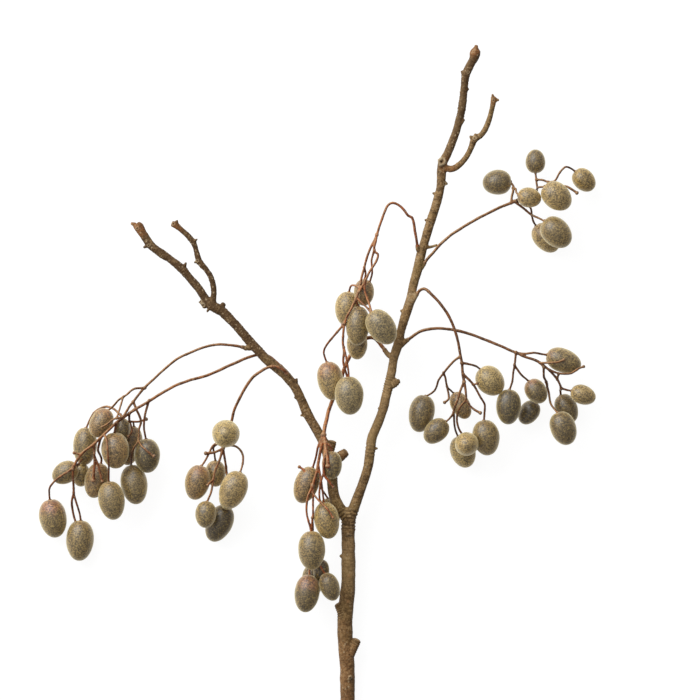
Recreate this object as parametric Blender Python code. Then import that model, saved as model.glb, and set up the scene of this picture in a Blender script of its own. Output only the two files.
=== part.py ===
"""A cut fruiting branch, laid down flat on a surface.

The woody part forks into two leaders, each with one bare side twig. Eight sprays of thin stalks grow from
the leaders, and every spray ends in a bunch of egg-shaped, downy fruits.

Every place below is in millimetres, with the fork of the branch at X = 0, Y = 0. X runs to the right, Y runs
towards the tips, and Z is the height over the surface that the branch lies on.
"""

import math

import bmesh
import bpy
from mathutils import Matrix, Vector

MM = 0.001           # every size below is in millimetres

# The fork's place, seen from the middle of the whole branch's outline on the surface.
FORK_X = 23.3
FORK_Y = -86.6

# The block under the surface. It cuts the low fruits and the stem's end flat where they rest.
BLOCK_SIDE = 1000.0
BLOCK_DEPTH = 100.0

# Spacing and fineness.
GAP = 0.3            # clear space between a stalk and the collar that it grows from
SUNK = 1.5           # how far a stalk's end goes into its fruit
WELD = 0.01          # points closer than this are one, so that a stem's end caps close it
WOOD_SIDES = 3       # bevel resolution: ten sides
TWIG_SIDES = 2       # eight sides
STALK_SIDES = 1      # six sides
FINE_SIDES = 0       # four sides
FRUIT_SIDES = 9
FRUIT_RINGS = 6
EGG = 0.07           # a fruit is this much fuller towards its stalk, and slimmer towards its tip

BARK_COLOUR = (0.156, 0.115, 0.061, 1.0)
BARK_ROUGHNESS = 0.8
FRUIT_COLOUR = (0.262, 0.223, 0.091, 1.0)
FRUIT_ROUGHNESS = 0.6

# Woody stems, each a list of points (X, Y, Z, radius).
MAIN_STEM = [
    (0.0, -174.0, 5.2, 5.6), (-0.4, -144.0, 7.4, 5.6), (-0.7, -118.5, 9.5, 5.7), (-2.1, -99.0, 11.5, 5.9),
    (-2.1, -80.0, 13.5, 5.9), (-0.2, -61.0, 15.5, 5.3), (0.3, -37.0, 18.0, 5.3), (0.0, -18.0, 20.0, 5.1),
    (0.2, -14.5, 20.3, 5.4), (0.3, -12.5, 20.5, 5.1), (0.4, -10.5, 20.7, 5.5), (0.5, -8.5, 20.9, 5.2),
    (0.4, -6.5, 21.1, 5.6), (0.1, -3.0, 21.4, 5.0), (0.0, 0.5, 21.6, 3.4),
]
LEFT_LEADER = [
    (-1.6, -6.0, 21.0, 4.6), (-6.8, 0.4, 21.5, 4.4), (-10.7, 10.4, 22.0, 4.1), (-12.0, 22.4, 22.5, 4.2),
    (-14.4, 36.0, 23.0, 4.0), (-19.0, 50.2, 23.5, 3.7), (-22.9, 57.4, 24.0, 3.5), (-30.5, 70.5, 24.5, 3.6),
    (-35.7, 82.7, 25.0, 3.3), (-40.8, 92.0, 25.5, 3.4), (-47.4, 99.7, 26.0, 3.5),
    (-59.5, 110.0, 26.5, 3.6), (-68.3, 119.1, 27.0, 3.6), (-76.4, 127.9, 27.5, 3.5),
    (-86.3, 139.4, 28.0, 3.5), (-94.4, 147.5, 28.0, 3.7), (-101.5, 151.5, 28.5, 3.8),
    (-106.6, 156.4, 28.5, 3.2), (-111.6, 163.9, 29.0, 3.1), (-118.1, 171.7, 29.0, 3.1),
    (-124.2, 179.1, 29.5, 3.1), (-131.3, 184.9, 30.0, 3.0), (-138.1, 189.7, 30.0, 3.1),
    (-144.2, 194.1, 30.5, 3.1), (-148.6, 197.8, 30.5, 3.2), (-153.0, 204.5, 31.0, 3.1),
    (-156.2, 209.2, 31.0, 3.6), (-159.7, 211.9, 31.5, 3.2), (-162.2, 213.7, 31.5, 1.7),
]
RIGHT_LEADER = [
    (1.6, -6.0, 21.0, 4.6), (4.2, -0.5, 21.5, 4.3), (6.7, 6.3, 22.0, 3.9), (11.3, 18.9, 22.5, 3.7),
    (15.3, 30.7, 23.0, 3.5), (16.8, 43.5, 23.5, 3.7), (18.1, 53.4, 24.0, 3.6), (22.8, 64.0, 24.5, 3.6),
    (26.7, 75.2, 25.0, 3.6), (28.2, 82.5, 25.5, 3.4), (30.2, 90.8, 26.0, 3.6), (32.8, 103.4, 26.0, 3.4),
    (34.6, 113.4, 26.5, 3.5), (37.2, 121.4, 27.0, 3.5), (39.9, 133.5, 27.0, 3.4), (41.8, 140.2, 27.5, 3.4),
    (46.2, 154.3, 28.0, 3.6), (48.7, 165.9, 28.0, 3.3), (51.6, 177.0, 28.5, 3.5), (54.8, 190.9, 29.0, 3.6),
    (58.2, 202.3, 29.0, 3.4), (62.4, 215.8, 29.5, 3.4), (67.0, 230.8, 30.0, 3.3), (69.0, 238.4, 30.0, 3.2),
    (70.0, 247.5, 30.0, 3.3), (70.8, 258.0, 30.5, 3.7), (74.2, 264.6, 31.0, 3.1), (77.8, 273.7, 31.0, 3.0),
    (81.4, 283.6, 31.5, 3.0), (84.1, 293.7, 31.5, 3.0), (86.0, 305.3, 32.0, 3.0), (87.1, 316.5, 32.0, 3.0),
    (88.5, 325.7, 32.5, 3.2), (92.0, 333.1, 32.5, 3.0), (94.4, 339.8, 33.0, 3.5), (95.7, 343.2, 33.0, 3.7),
    (95.8, 345.6, 33.0, 2.9), (96.1, 347.5, 33.0, 1.5),
]
LEFT_TWIG = [
    (-101.2, 153.3, 28.8, 2.5), (-100.5, 162.0, 30.0, 2.2), (-101.0, 167.2, 30.8, 2.2),
    (-103.1, 173.5, 31.5, 2.2), (-106.8, 179.3, 32.3, 2.1), (-111.8, 185.3, 33.0, 2.5),
    (-113.9, 193.4, 33.8, 2.0), (-115.9, 198.7, 34.4, 2.2), (-120.2, 204.3, 35.0, 2.1),
    (-124.9, 208.4, 35.5, 2.1), (-129.9, 212.5, 36.0, 2.5), (-132.2, 213.3, 36.0, 2.0),
]
RIGHT_TWIG = [
    (70.9, 255.9, 30.4, 2.5), (77.5, 254.1, 31.5, 2.4), (83.3, 257.3, 32.3, 2.3), (89.2, 264.0, 33.0, 2.2),
    (92.6, 271.2, 33.6, 2.1), (94.7, 276.6, 34.0, 2.6), (99.4, 279.4, 34.4, 2.1),
    (103.6, 285.5, 34.8, 2.1), (106.6, 293.4, 35.2, 2.0), (108.4, 301.2, 35.6, 2.0),
    (109.1, 306.5, 36.0, 2.2), (109.0, 308.0, 36.0, 1.8),
]

# Short side pieces of the wood: cut stubs, spurs, thorns and buds, each a list of points (X, Y, Z, radius).
STUBS = [
    [(-3.0, -83.0, 14.0, 3.6), (-7.5, -72.6, 16.0, 3.0)],
    [(1.5, -110.5, 11.5, 3.8), (6.8, -99.6, 13.6, 3.2)],
    [(-14.4, 39.5, 23.8, 3.4), (-11.6, 49.8, 26.0, 3.2)],
    [(-11.5, 34.8, 23.2, 4.6), (-6.0, 38.6, 24.0, 4.0), (-1.2, 42.0, 24.5, 3.1)],
    [(31.0, 92.0, 26.0, 3.6), (36.0, 94.4, 26.5, 3.2), (38.2, 95.2, 26.5, 1.8)],
]
SPURS = [
    [(-2.5, -37.4, 18.5, 1.9), (-5.6, -36.3, 19.0, 1.1)],
    [(0.5, -20.5, 22.0, 1.6), (0.6, -20.2, 25.7, 1.1)],
    [(1.5, -128.0, 10.0, 1.6), (1.6, -127.6, 15.4, 1.1)],
    [(-32.0, 69.8, 24.5, 1.6), (-35.2, 69.4, 25.0, 0.9)],
    [(-36.3, 82.0, 25.0, 1.6), (-39.8, 82.7, 25.5, 0.9)],
    [(-39.0, 92.6, 25.5, 1.6), (-38.4, 96.6, 26.0, 0.9)],
    [(-103.4, 151.4, 28.5, 1.6), (-105.4, 147.4, 29.0, 0.9)],
    [(-106.4, 155.3, 28.5, 2.6), (-108.8, 153.0, 29.5, 2.0)],
    [(-123.3, 179.6, 29.5, 1.7), (-121.6, 183.6, 30.5, 1.0)],
    [(-148.0, 197.0, 30.5, 1.6), (-152.8, 195.6, 31.0, 1.0)],
    [(-111.8, 185.0, 33.0, 1.6), (-114.7, 184.2, 33.8, 1.0)],
    [(-115.6, 199.4, 34.4, 1.5), (-113.7, 201.2, 34.8, 0.9)],
    [(-127.8, 211.0, 35.6, 1.5), (-127.9, 215.4, 36.6, 1.0)],
    [(-158.4, 211.2, 31.5, 1.8), (-160.8, 214.4, 33.0, 1.3)],
    [(17.6, 44.0, 23.5, 1.6), (21.8, 44.6, 24.0, 0.9)],
    [(27.0, 73.7, 25.0, 1.6), (22.9, 74.8, 25.8, 0.9)],
    [(43.4, 147.0, 27.8, 1.6), (39.7, 148.0, 28.2, 1.0)],
    [(57.0, 196.5, 29.0, 1.5), (61.0, 195.6, 29.6, 1.2), (66.4, 197.2, 30.4, 1.0)],
    [(61.6, 214.5, 29.5, 1.5), (57.9, 216.0, 30.0, 0.9)],
    [(67.4, 234.5, 30.0, 1.5), (63.9, 236.0, 30.5, 0.9)],
    [(69.4, 243.0, 30.0, 1.8), (73.6, 243.4, 30.6, 1.3)],
    [(70.3, 258.8, 32.0, 3.2), (70.0, 259.4, 34.4, 2.6)],
    [(84.0, 290.5, 31.5, 1.5), (88.2, 291.6, 32.0, 1.0)],
    [(88.2, 325.0, 32.5, 1.5), (84.5, 326.4, 33.0, 1.0)],
    [(87.4, 314.5, 32.0, 1.5), (90.9, 314.0, 32.4, 1.1)],
    [(94.2, 276.0, 34.0, 1.7), (91.9, 278.3, 35.0, 1.2)],
    [(95.0, 276.5, 34.2, 1.6), (95.4, 279.6, 35.6, 1.2)],
    [(109.0, 306.0, 36.0, 1.4), (112.6, 305.8, 36.6, 1.0)],
    [(108.9, 306.5, 36.0, 1.4), (108.0, 310.0, 36.6, 0.9)],
]

# The sprays. "foot" is the run out of the wood: the wood's own collar holds its first part, and the stalk
# goes on from the middle of its last stretch. "collar" is the collar's radius at its root and at its end.
# A fruit is (X, Y, Z, length, width, tilt, pitch), with X, Y, Z its middle. Tilt turns its tip from -Y
# towards +X, and pitch lifts its tip off the surface, both in degrees.
# A stalk is (radius at its start, radius at its end, points, fruit number or None for a bare end).
SPRAYS = {
    "spray_upper_left": {
        "foot": [(-70.0, 121.0, 27.0), (-75.5, 119.8, 27.8), (-84.0, 121.7, 29.3)],
        "collar": (2.4, 1.2),
        "fruits": {
            1: (-160.7, 17.4, 18.0, 30.0, 20.0, 9, 6),
            2: (-185.3, 63.8, 28.0, 23.3, 16.9, -28, 10),
        },
        "stalks": [
            (1.0, 0.9, [(-84.0, 121.7, 29.3), (-94.0, 122.6, 30.0), (-104.0, 121.7, 30.0),
                        (-116.4, 117.3, 30.0), (-128.9, 111.3, 30.0), (-138.8, 103.0, 30.0),
                        (-146.3, 96.2, 30.0), (-153.0, 89.8, 30.0), (-158.6, 83.0, 30.0),
                        (-161.3, 79.1, 30.0)], None),
            (0.9, 0.7, [(-152.5, 90.0, 30.0), (-157.1, 89.9, 31.0), (-160.0, 89.6, 31.5),
                        (-162.9, 87.8, 32.0), (-165.8, 85.0, 33.0), (-168.9, 83.0, 33.5),
                        (-172.0, 81.0, 33.0), (-174.8, 77.7, 31.0)], 2),
            (0.7, 0.7, [(-168.5, 83.3, 33.5), (-170.0, 77.7, 36.0), (-171.8, 71.5, 40.2),
                        (-173.0, 68.1, 41.4), (-176.3, 66.2, 41.6), (-180.0, 63.3, 40.8),
                        (-184.0, 60.9, 39.2)], None),
            (0.9, 0.8, [(-161.0, 79.6, 30.0), (-163.9, 75.8, 35.0), (-166.2, 71.8, 40.2),
                        (-168.8, 68.2, 41.2), (-173.0, 67.6, 41.4)], None),
            (0.9, 0.7, [(-160.9, 79.4, 30.0), (-158.1, 72.9, 31.0), (-156.2, 69.0, 30.0),
                        (-155.3, 64.0, 28.8), (-156.7, 59.5, 28.5), (-157.1, 50.6, 29.6),
                        (-160.2, 45.8, 30.0), (-162.6, 39.2, 27.0)], 1),
            (0.7, 0.9, [(-157.1, 51.0, 29.6), (-155.0, 47.0, 33.8), (-150.3, 42.7, 36.8),
                        (-145.4, 39.0, 36.6)], None),
        ],
    },
    "spray_lower_left": {
        "foot": [(-45.5, 100.5, 25.4), (-48.2, 103.9, 22.4), (-53.6, 109.2, 20.2)],
        "collar": (2.0, 1.2),
        "fruits": {
            1: (-222.0, -8.2, 10.0, 29.3, 20.6, 10, 0),
            2: (-201.8, -24.8, 10.0, 30.8, 20.8, -3, 0),
            3: (-177.2, 5.7, 30.5, 29.3, 19.7, 9, 5),
            4: (-150.8, 39.2, 24.5, 25.9, 19.5, 3, -5),
            5: (-174.5, 43.2, 31.0, 27.2, 20.8, 3, 4),
            6: (-198.0, 46.1, 10.5, 28.5, 18.0, -3, 0),
            7: (-212.5, 26.3, 18.5, 21.0, 16.4, -60, 0),
            8: (-201.2, 24.6, 7.0, 18.0, 13.6, 0, 0),
            9: (-189.0, 20.5, 17.0, 27.0, 18.0, -15, 0),
            10: (-169.5, 58.5, 20.0, 18.0, 12.0, 0, 0),
            11: (-163.9, 46.5, 8.3, 30.0, 17.0, -12, 0),
        },
        "stalks": [
            (1.1, 1.0, [(-53.6, 109.2, 20.2), (-59.0, 113.4, 19.8), (-65.0, 115.2, 20.0),
                        (-70.0, 114.4, 20.8), (-81.0, 110.5, 22.5), (-90.0, 106.5, 24.0),
                        (-106.5, 99.2, 27.0), (-118.5, 95.9, 29.0), (-126.5, 93.0, 30.5),
                        (-134.7, 88.9, 32.0), (-143.3, 84.0, 33.3), (-149.0, 80.0, 34.5),
                        (-158.1, 74.8, 36.3), (-166.7, 69.0, 37.5), (-171.0, 66.0, 38.0),
                        (-178.4, 59.6, 38.8), (-185.6, 52.2, 38.0), (-190.5, 47.8, 36.0),
                        (-196.2, 43.7, 33.5), (-200.3, 40.0, 32.0), (-203.6, 35.3, 31.0),
                        (-206.4, 29.5, 30.0)], None),
            (0.9, 0.7, [(-206.0, 30.0, 30.0), (-211.7, 26.3, 29.6), (-217.4, 22.5, 27.0),
                        (-222.2, 18.0, 22.0), (-224.8, 13.2, 15.5)], 1),
            (0.9, 0.8, [(-206.2, 30.5, 30.0), (-206.3, 23.0, 28.0), (-206.0, 10.7, 22.0),
                        (-207.6, 4.8, 18.0), (-206.8, -4.0, 13.0), (-204.6, -12.5, 10.5)], None),
            (0.8, 0.7, [(-206.0, 11.2, 22.2), (-204.0, 3.5, 19.0), (-201.8, -4.5, 14.0)], 2),
            (0.8, 0.8, [(-200.0, 40.3, 32.0), (-205.4, 41.4, 31.5)], None),
            (0.8, 0.7, [(-182.5, 55.3, 38.4), (-181.0, 52.0, 41.0), (-180.0, 47.5, 43.0),
                        (-179.6, 39.2, 43.4), (-178.9, 31.5, 39.5), (-179.3, 24.5, 34.0)], 3),
            (0.9, 0.7, [(-149.0, 80.5, 34.5), (-151.5, 72.5, 33.2), (-152.6, 66.8, 32.0),
                        (-152.9, 59.0, 29.0)], 4),
            (0.9, 0.8, [(-173.2, 64.0, 38.2), (-174.3, 60.0, 36.0)], 5),
            (0.9, 0.7, [(-168.5, 67.8, 37.4), (-174.0, 73.0, 27.0), (-181.5, 76.0, 17.5),
                        (-189.8, 72.5, 15.0), (-194.0, 66.5, 13.0)], 6),
            (0.9, 0.7, [(-205.2, 32.0, 30.5), (-201.8, 33.0, 25.0)], 7),
            (0.7, 0.7, [(-202.0, 33.2, 25.5), (-199.6, 36.5, 14.0)], 8),
            (0.9, 0.7, [(-185.2, 52.5, 37.8), (-187.4, 43.0, 27.0), (-185.2, 37.0, 19.5)], 9),
            (0.9, 0.7, [(-169.2, 67.5, 37.4), (-170.4, 70.5, 29.0)], 10),
            (0.9, 0.7, [(-163.7, 71.0, 37.0), (-163.9, 65.0, 26.0), (-161.6, 64.5, 16.0)], 11),
            (0.7, 0.9, [(-164.0, 65.0, 26.0), (-157.2, 64.8, 24.6), (-151.4, 66.6, 23.6)], None),
            (0.7, 0.7, [(-163.9, 65.3, 26.5), (-162.1, 57.9, 25.0), (-164.9, 53.3, 23.6)], None),
            (0.8, 0.8, [(-190.3, 48.0, 36.2), (-189.8, 39.2, 33.0), (-187.5, 32.5, 31.0),
                        (-184.2, 20.0, 30.0)], None),
            (0.7, 1.2, [(-190.0, 41.0, 34.0), (-190.0, 33.0, 31.6), (-191.0, 20.8, 29.0)], None),
        ],
    },
    "spray_left_centre": {
        "foot": [(-41.8, 94.8, 25.6), (-44.6, 99.2, 30.2), (-48.0, 103.2, 32.2)],
        "collar": (2.0, 1.2),
        "fruits": {
            1: (-91.5, 55.7, 35.0, 26.0, 20.6, 0, 82),
            2: (-113.3, 19.0, 17.0, 26.6, 18.8, -13, 0),
            3: (-99.8, 25.5, 7.4, 20.0, 15.2, 0, 0),
            4: (-86.0, 13.7, 33.0, 29.5, 20.3, -22, 4),
            5: (-106.7, -4.9, 26.0, 20.3, 15.8, -3, 10),
            6: (-96.9, -12.0, 9.6, 29.3, 19.6, -25, 0),
            7: (-90.2, 6.8, 18.4, 17.0, 13.6, 0, 0),
        },
        "stalks": [
            (1.1, 1.0, [(-48.0, 103.2, 32.2), (-51.8, 105.2, 32.6), (-55.9, 106.2, 32.4),
                        (-60.8, 105.2, 31.4), (-65.6, 102.3, 30.0), (-71.3, 98.3, 28.3),
                        (-76.2, 91.7, 26.6), (-80.3, 84.5, 25.0), (-83.5, 78.0, 23.4), (-86.3, 70.7, 21.2),
                        (-87.8, 64.0, 19.2), (-90.5, 55.0, 18.0), (-94.1, 44.3, 18.4)], None),
            (0.9, 0.8, [(-90.3, 55.6, 18.2), (-91.2, 56.8, 20.6)], 1),
            (0.9, 1.0, [(-93.8, 44.6, 18.4), (-100.6, 41.5, 19.0), (-107.0, 40.9, 19.5)], None),
            (1.0, 0.7, [(-94.0, 44.6, 18.4), (-96.9, 34.7, 20.5), (-100.1, 27.4, 21.5),
                        (-101.6, 19.2, 23.0), (-102.9, 11.0, 25.0)], 5),
            (0.7, 0.8, [(-101.2, 21.5, 22.5), (-105.3, 17.0, 26.0)], None),
            (0.9, 0.7, [(-93.8, 44.4, 18.4), (-92.0, 32.9, 16.5), (-91.0, 24.0, 12.0), (-89.4, 13.0, 7.6),
                        (-89.6, 6.0, 7.2)], 6),
            (0.7, 0.7, [(-91.4, 26.5, 13.5), (-90.4, 19.0, 16.4)], 7),
            (0.9, 0.7, [(-92.8, 47.5, 18.4), (-99.8, 48.0, 18.5), (-102.3, 45.4, 18.5),
                        (-104.9, 40.1, 18.0), (-107.8, 34.8, 17.4)], 2),
            (0.8, 0.7, [(-99.0, 47.6, 18.4), (-101.2, 45.0, 16.6), (-100.4, 40.1, 13.4)], 3),
            (0.9, 0.7, [(-93.4, 46.0, 18.4), (-88.6, 46.8, 19.4), (-84.4, 46.0, 21.6), (-81.0, 43.3, 24.4),
                        (-78.8, 39.2, 27.2), (-79.0, 33.4, 30.6)], 4),
        ],
    },
    "spray_upper_centre": {
        "foot": [(55.0, 190.0, 29.0), (52.2, 194.2, 31.6), (51.6, 199.5, 34.0)],
        "collar": (2.0, 1.2),
        "fruits": {
            1: (12.0, 161.6, 30.0, 20.0, 15.0, 0, 0),
            2: (-0.4, 149.6, 21.8, 25.9, 18.8, -5, 0),
            3: (7.3, 136.7, 37.0, 29.6, 17.8, -3, 5),
            4: (25.1, 135.6, 47.0, 28.5, 20.6, 35, 0),
            5: (6.8, 122.3, 22.5, 21.8, 15.4, 0, 0),
            6: (-13.1, 95.4, 24.0, 29.3, 19.5, 11, 0),
            7: (0.9, 84.4, 36.6, 28.9, 21.6, 5, 6),
        },
        "stalks": [
            (1.0, 0.9, [(51.6, 199.5, 34.0), (50.0, 208.0, 35.4), (47.9, 217.5, 36.0), (44.9, 219.0, 36.0),
                        (42.5, 222.5, 36.0), (38.0, 227.0, 36.0), (33.4, 228.8, 36.0), (30.0, 227.0, 36.0),
                        (27.8, 222.8, 36.0), (25.5, 216.8, 36.0), (23.5, 210.8, 36.0),
                        (21.5, 204.5, 36.0)], None),
            (0.9, 0.9, [(21.7, 205.0, 36.0), (17.5, 196.0, 36.0), (14.5, 188.5, 36.0), (12.2, 180.0, 36.0),
                        (9.6, 170.0, 37.4), (8.0, 162.8, 39.2), (6.3, 157.7, 41.0), (2.7, 149.8, 42.0),
                        (-0.5, 144.0, 41.2), (-2.7, 138.3, 40.0)], None),
            (0.8, 0.7, [(12.2, 180.5, 36.0), (13.2, 175.5, 34.0)], 1),
            (0.9, 0.8, [(21.5, 204.9, 36.0), (20.7, 199.5, 37.0), (19.5, 192.5, 37.0), (22.2, 190.6, 37.6),
                        (20.5, 184.0, 38.4), (15.5, 176.0, 39.4), (12.0, 168.5, 39.6),
                        (8.0, 161.8, 39.8)], None),
            (0.8, 0.7, [(19.7, 193.0, 37.0), (17.5, 185.5, 36.0), (18.2, 176.0, 34.0),
                        (15.6, 167.5, 31.5)], None),
            (0.8, 0.8, [(13.4, 171.2, 39.5), (12.4, 164.3, 39.8), (14.3, 158.0, 41.0),
                        (16.2, 152.6, 43.6)], 4),
            (0.8, 0.7, [(6.4, 158.0, 41.0), (10.5, 153.6, 43.0), (14.4, 149.9, 45.0),
                        (17.4, 145.5, 46.6)], None),
            (0.8, 0.7, [(5.8, 156.2, 41.2), (6.8, 153.6, 40.0)], 3),
            (0.9, 0.7, [(-2.4, 139.0, 40.0), (-6.8, 133.3, 38.0), (-12.4, 126.8, 34.0),
                        (-16.7, 121.1, 30.0), (-18.2, 116.5, 27.0)], 6),
            (0.9, 0.8, [(-2.6, 138.8, 40.0), (-3.5, 132.0, 40.0), (-3.7, 124.0, 39.5), (-3.1, 117.5, 39.0),
                        (-3.7, 109.7, 38.2), (-1.9, 102.5, 37.4)], 7),
            (0.8, 0.7, [(-3.2, 120.5, 39.4), (-1.2, 112.0, 40.4), (0.2, 104.0, 39.6),
                        (0.6, 96.5, 38.0)], None),
            (0.8, 0.7, [(-2.6, 138.6, 39.6), (-4.4, 137.2, 31.0), (0.6, 136.4, 24.4)], 5),
            (0.8, 0.7, [(8.6, 165.0, 38.8), (4.4, 167.0, 30.0), (2.0, 166.0, 24.5)], 2),
        ],
    },
    "spray_lower_centre": {
        "foot": [(34.6, 112.6, 26.5), (29.8, 115.4, 23.4), (25.0, 122.0, 18.6)],
        "collar": (2.6, 1.5),
        "fruits": {
            1: (-31.3, 17.3, 26.0, 28.5, 18.2, -20, 0),
            2: (-12.0, 32.3, 36.4, 21.0, 15.0, 0, 5),
            3: (-15.9, -9.2, 32.6, 27.8, 18.8, 10, 6),
            4: (-27.2, -31.5, 35.0, 29.3, 20.3, 0, 6),
            5: (-30.8, -64.1, 27.0, 28.5, 18.8, -8, 5),
            6: (-13.7, -59.0, 29.5, 21.8, 14.6, 20, 0),
            7: (-26.4, -54.8, 8.0, 24.0, 16.6, 0, 0),
            8: (-20.2, -47.6, 19.8, 18.0, 12.4, 0, 0),
            9: (-14.6, -5.4, 8.7, 25.0, 18.0, 0, 0),
        },
        "stalks": [
            (1.4, 1.4, [(25.0, 122.0, 18.6), (19.0, 128.0, 14.0), (11.0, 126.0, 11.0), (5.0, 119.5, 9.8),
                        (-1.1, 108.8, 9.4), (-5.3, 97.5, 9.4), (-9.0, 87.0, 11.0), (-11.8, 80.6, 14.4),
                        (-14.3, 73.7, 20.0), (-15.9, 67.1, 26.0), (-17.3, 61.1, 31.0),
                        (-18.2, 55.0, 34.0)], None),
            (1.0, 0.7, [(-18.2, 55.6, 34.0), (-20.9, 49.5, 34.0), (-22.7, 45.2, 33.4),
                        (-24.0, 38.0, 30.5)], 1),
            (1.2, 1.0, [(-18.2, 55.6, 33.8), (-19.4, 49.6, 34.4), (-20.5, 43.0, 34.4), (-22.0, 35.3, 34.4),
                        (-23.2, 28.1, 34.8), (-25.3, 21.0, 35.4), (-26.6, 16.5, 35.8)], None),
            (0.9, 0.7, [(-26.4, 17.2, 35.8), (-29.1, 11.6, 36.6), (-30.8, 5.5, 36.8), (-31.2, 0.8, 36.2),
                        (-30.8, -5.3, 35.6), (-28.6, -13.5, 35.0), (-27.6, -18.5, 35.4)], None),
            (0.8, 0.7, [(-26.6, 16.8, 35.8), (-26.3, 10.5, 36.0), (-26.1, -1.0, 35.6),
                        (-26.8, -9.5, 35.0)], 4),
            (0.7, 0.7, [(-26.4, 11.5, 36.0), (-21.4, 5.4, 39.6), (-15.2, -0.8, 43.4),
                        (-11.2, -6.9, 43.6)], None),
            (1.1, 0.8, [(-18.0, 55.2, 34.0), (-17.0, 48.4, 36.6), (-17.8, 38.5, 41.2), (-18.2, 30.8, 42.2),
                        (-17.8, 25.3, 41.6), (-14.8, 21.0, 41.6), (-11.0, 16.0, 41.0)], None),
            (1.2, 1.2, [(-17.0, 49.0, 36.4), (-15.8, 39.6, 42.6), (-15.0, 31.6, 44.8)], None),
            (0.8, 0.7, [(-16.8, 48.8, 36.6), (-13.4, 46.8, 37.2)], 2),
            (0.8, 0.7, [(-22.4, 33.4, 34.4), (-20.4, 22.0, 35.0), (-19.0, 12.0, 34.0)], 3),
            (0.8, 0.7, [(-18.0, 27.0, 41.0), (-20.2, 19.9, 38.5), (-21.4, 14.0, 36.6), (-21.0, 6.5, 35.0),
                        (-19.4, 0.5, 33.0)], None),
            (0.8, 0.7, [(-20.2, 19.0, 34.6), (-19.8, 14.5, 25.0), (-18.0, 11.5, 14.0)], 9),
            (0.9, 0.8, [(-26.6, -7.0, 35.0), (-26.6, -15.0, 26.0), (-27.0, -24.0, 22.4),
                        (-27.6, -36.0, 22.0), (-28.7, -44.5, 24.0)], 5),
            (0.8, 0.7, [(-27.2, -34.5, 22.2), (-23.6, -40.0, 26.2), (-20.6, -43.6, 29.0)], 6),
            (0.8, 0.7, [(-27.0, -27.0, 22.4), (-26.8, -37.0, 14.0)], 7),
            (0.8, 0.7, [(-27.2, -27.5, 22.4), (-22.4, -32.5, 21.0)], 8),
            (0.8, 0.9, [(-26.6, 15.0, 35.0), (-33.4, 28.8, 31.0), (-36.6, 30.9, 30.4)], None),
        ],
    },
    "spray_right_inner": {
        "foot": [(45.6, 151.4, 28.0), (50.2, 158.8, 30.0), (54.0, 163.2, 32.0)],
        "collar": (3.0, 1.5),
        "fruits": {
            1: (55.3, 70.7, 9.0, 28.5, 19.2, -12, 0),
            2: (66.2, 57.5, 20.0, 21.8, 16.5, -45, 0),
            3: (84.8, 76.8, 13.0, 22.1, 14.4, 28, 12),
            4: (106.8, 95.3, 22.0, 24.0, 20.3, 40, 10),
            5: (88.9, 48.0, 33.0, 22.0, 17.6, 0, 80),
            6: (103.7, 52.7, 20.0, 27.0, 20.3, 8, 0),
            7: (86.6, 42.0, 8.8, 24.8, 18.8, 18, 0),
        },
        "stalks": [
            (1.1, 1.0, [(54.0, 163.2, 32.0), (57.2, 164.3, 33.0), (61.4, 161.5, 34.0), (67.0, 155.6, 34.5),
                        (72.5, 148.7, 35.0), (77.3, 140.3, 35.0), (80.0, 133.7, 34.5), (81.9, 127.1, 34.0),
                        (83.8, 117.8, 33.0), (85.3, 108.4, 32.0), (86.1, 100.1, 31.0),
                        (87.0, 94.5, 30.5)], None),
            (0.9, 0.7, [(84.0, 113.5, 32.4), (79.1, 109.9, 30.0), (74.4, 104.8, 27.0), (71.6, 101.0, 25.0),
                        (67.9, 95.5, 20.5), (65.1, 88.0, 14.5)], 1),
            (0.8, 0.7, [(71.8, 101.4, 25.0), (73.1, 97.4, 24.0), (74.4, 90.8, 20.5),
                        (77.0, 88.4, 16.0)], 3),
            (0.7, 0.9, [(74.3, 91.2, 21.0), (75.4, 81.5, 22.4), (72.5, 79.1, 22.6)], None),
            (0.9, 0.7, [(85.4, 108.8, 32.0), (92.3, 107.4, 30.0), (96.4, 106.2, 25.0)], 4),
            (0.9, 0.7, [(86.3, 100.6, 31.0), (92.3, 94.5, 30.0), (95.0, 90.8, 29.0), (99.6, 82.5, 27.0),
                        (102.4, 77.7, 25.5), (102.4, 71.5, 22.4)], 6),
            (0.7, 0.8, [(93.6, 92.6, 29.6), (97.0, 93.4, 32.4)], None),
            (0.9, 0.7, [(86.8, 95.0, 30.4), (83.8, 86.3, 30.0), (81.9, 80.6, 29.0), (80.0, 75.0, 27.0),
                        (78.6, 70.3, 25.0), (75.8, 66.6, 21.8)], 2),
            (0.8, 0.7, [(79.3, 72.0, 25.6), (79.8, 63.8, 18.5), (81.0, 57.5, 12.5)], 7),
            (0.9, 0.7, [(87.0, 95.0, 30.4), (88.5, 81.5, 30.0), (84.8, 76.8, 28.5), (82.4, 72.2, 26.5),
                        (81.7, 65.6, 23.5), (83.8, 58.6, 21.4), (87.0, 53.4, 20.8)], 5),
            (0.7, 0.9, [(88.4, 82.0, 30.2), (91.2, 76.8, 30.6), (95.0, 73.5, 31.0),
                        (99.2, 71.3, 31.5)], None),
        ],
    },
    "spray_right_outer": {
        "foot": [(37.0, 120.0, 26.9), (42.6, 124.6, 27.4), (48.4, 128.6, 28.0)],
        "collar": (2.6, 1.4),
        "fruits": {
            1: (120.5, 75.9, 24.0, 26.6, 18.8, -2, 0),
            2: (136.3, 71.4, 7.2, 19.5, 15.0, -35, 0),
            3: (141.3, 87.5, 20.6, 19.9, 15.8, 35, 8),
            4: (161.8, 110.5, 24.0, 27.4, 18.0, 70, 0),
            5: (176.6, 84.8, 20.6, 19.5, 14.6, 70, 0),
            6: (164.6, 74.4, 8.0, 22.9, 16.6, 25, 0),
            7: (161.6, 59.8, 26.0, 25.9, 19.5, 20, 0),
        },
        "stalks": [
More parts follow.
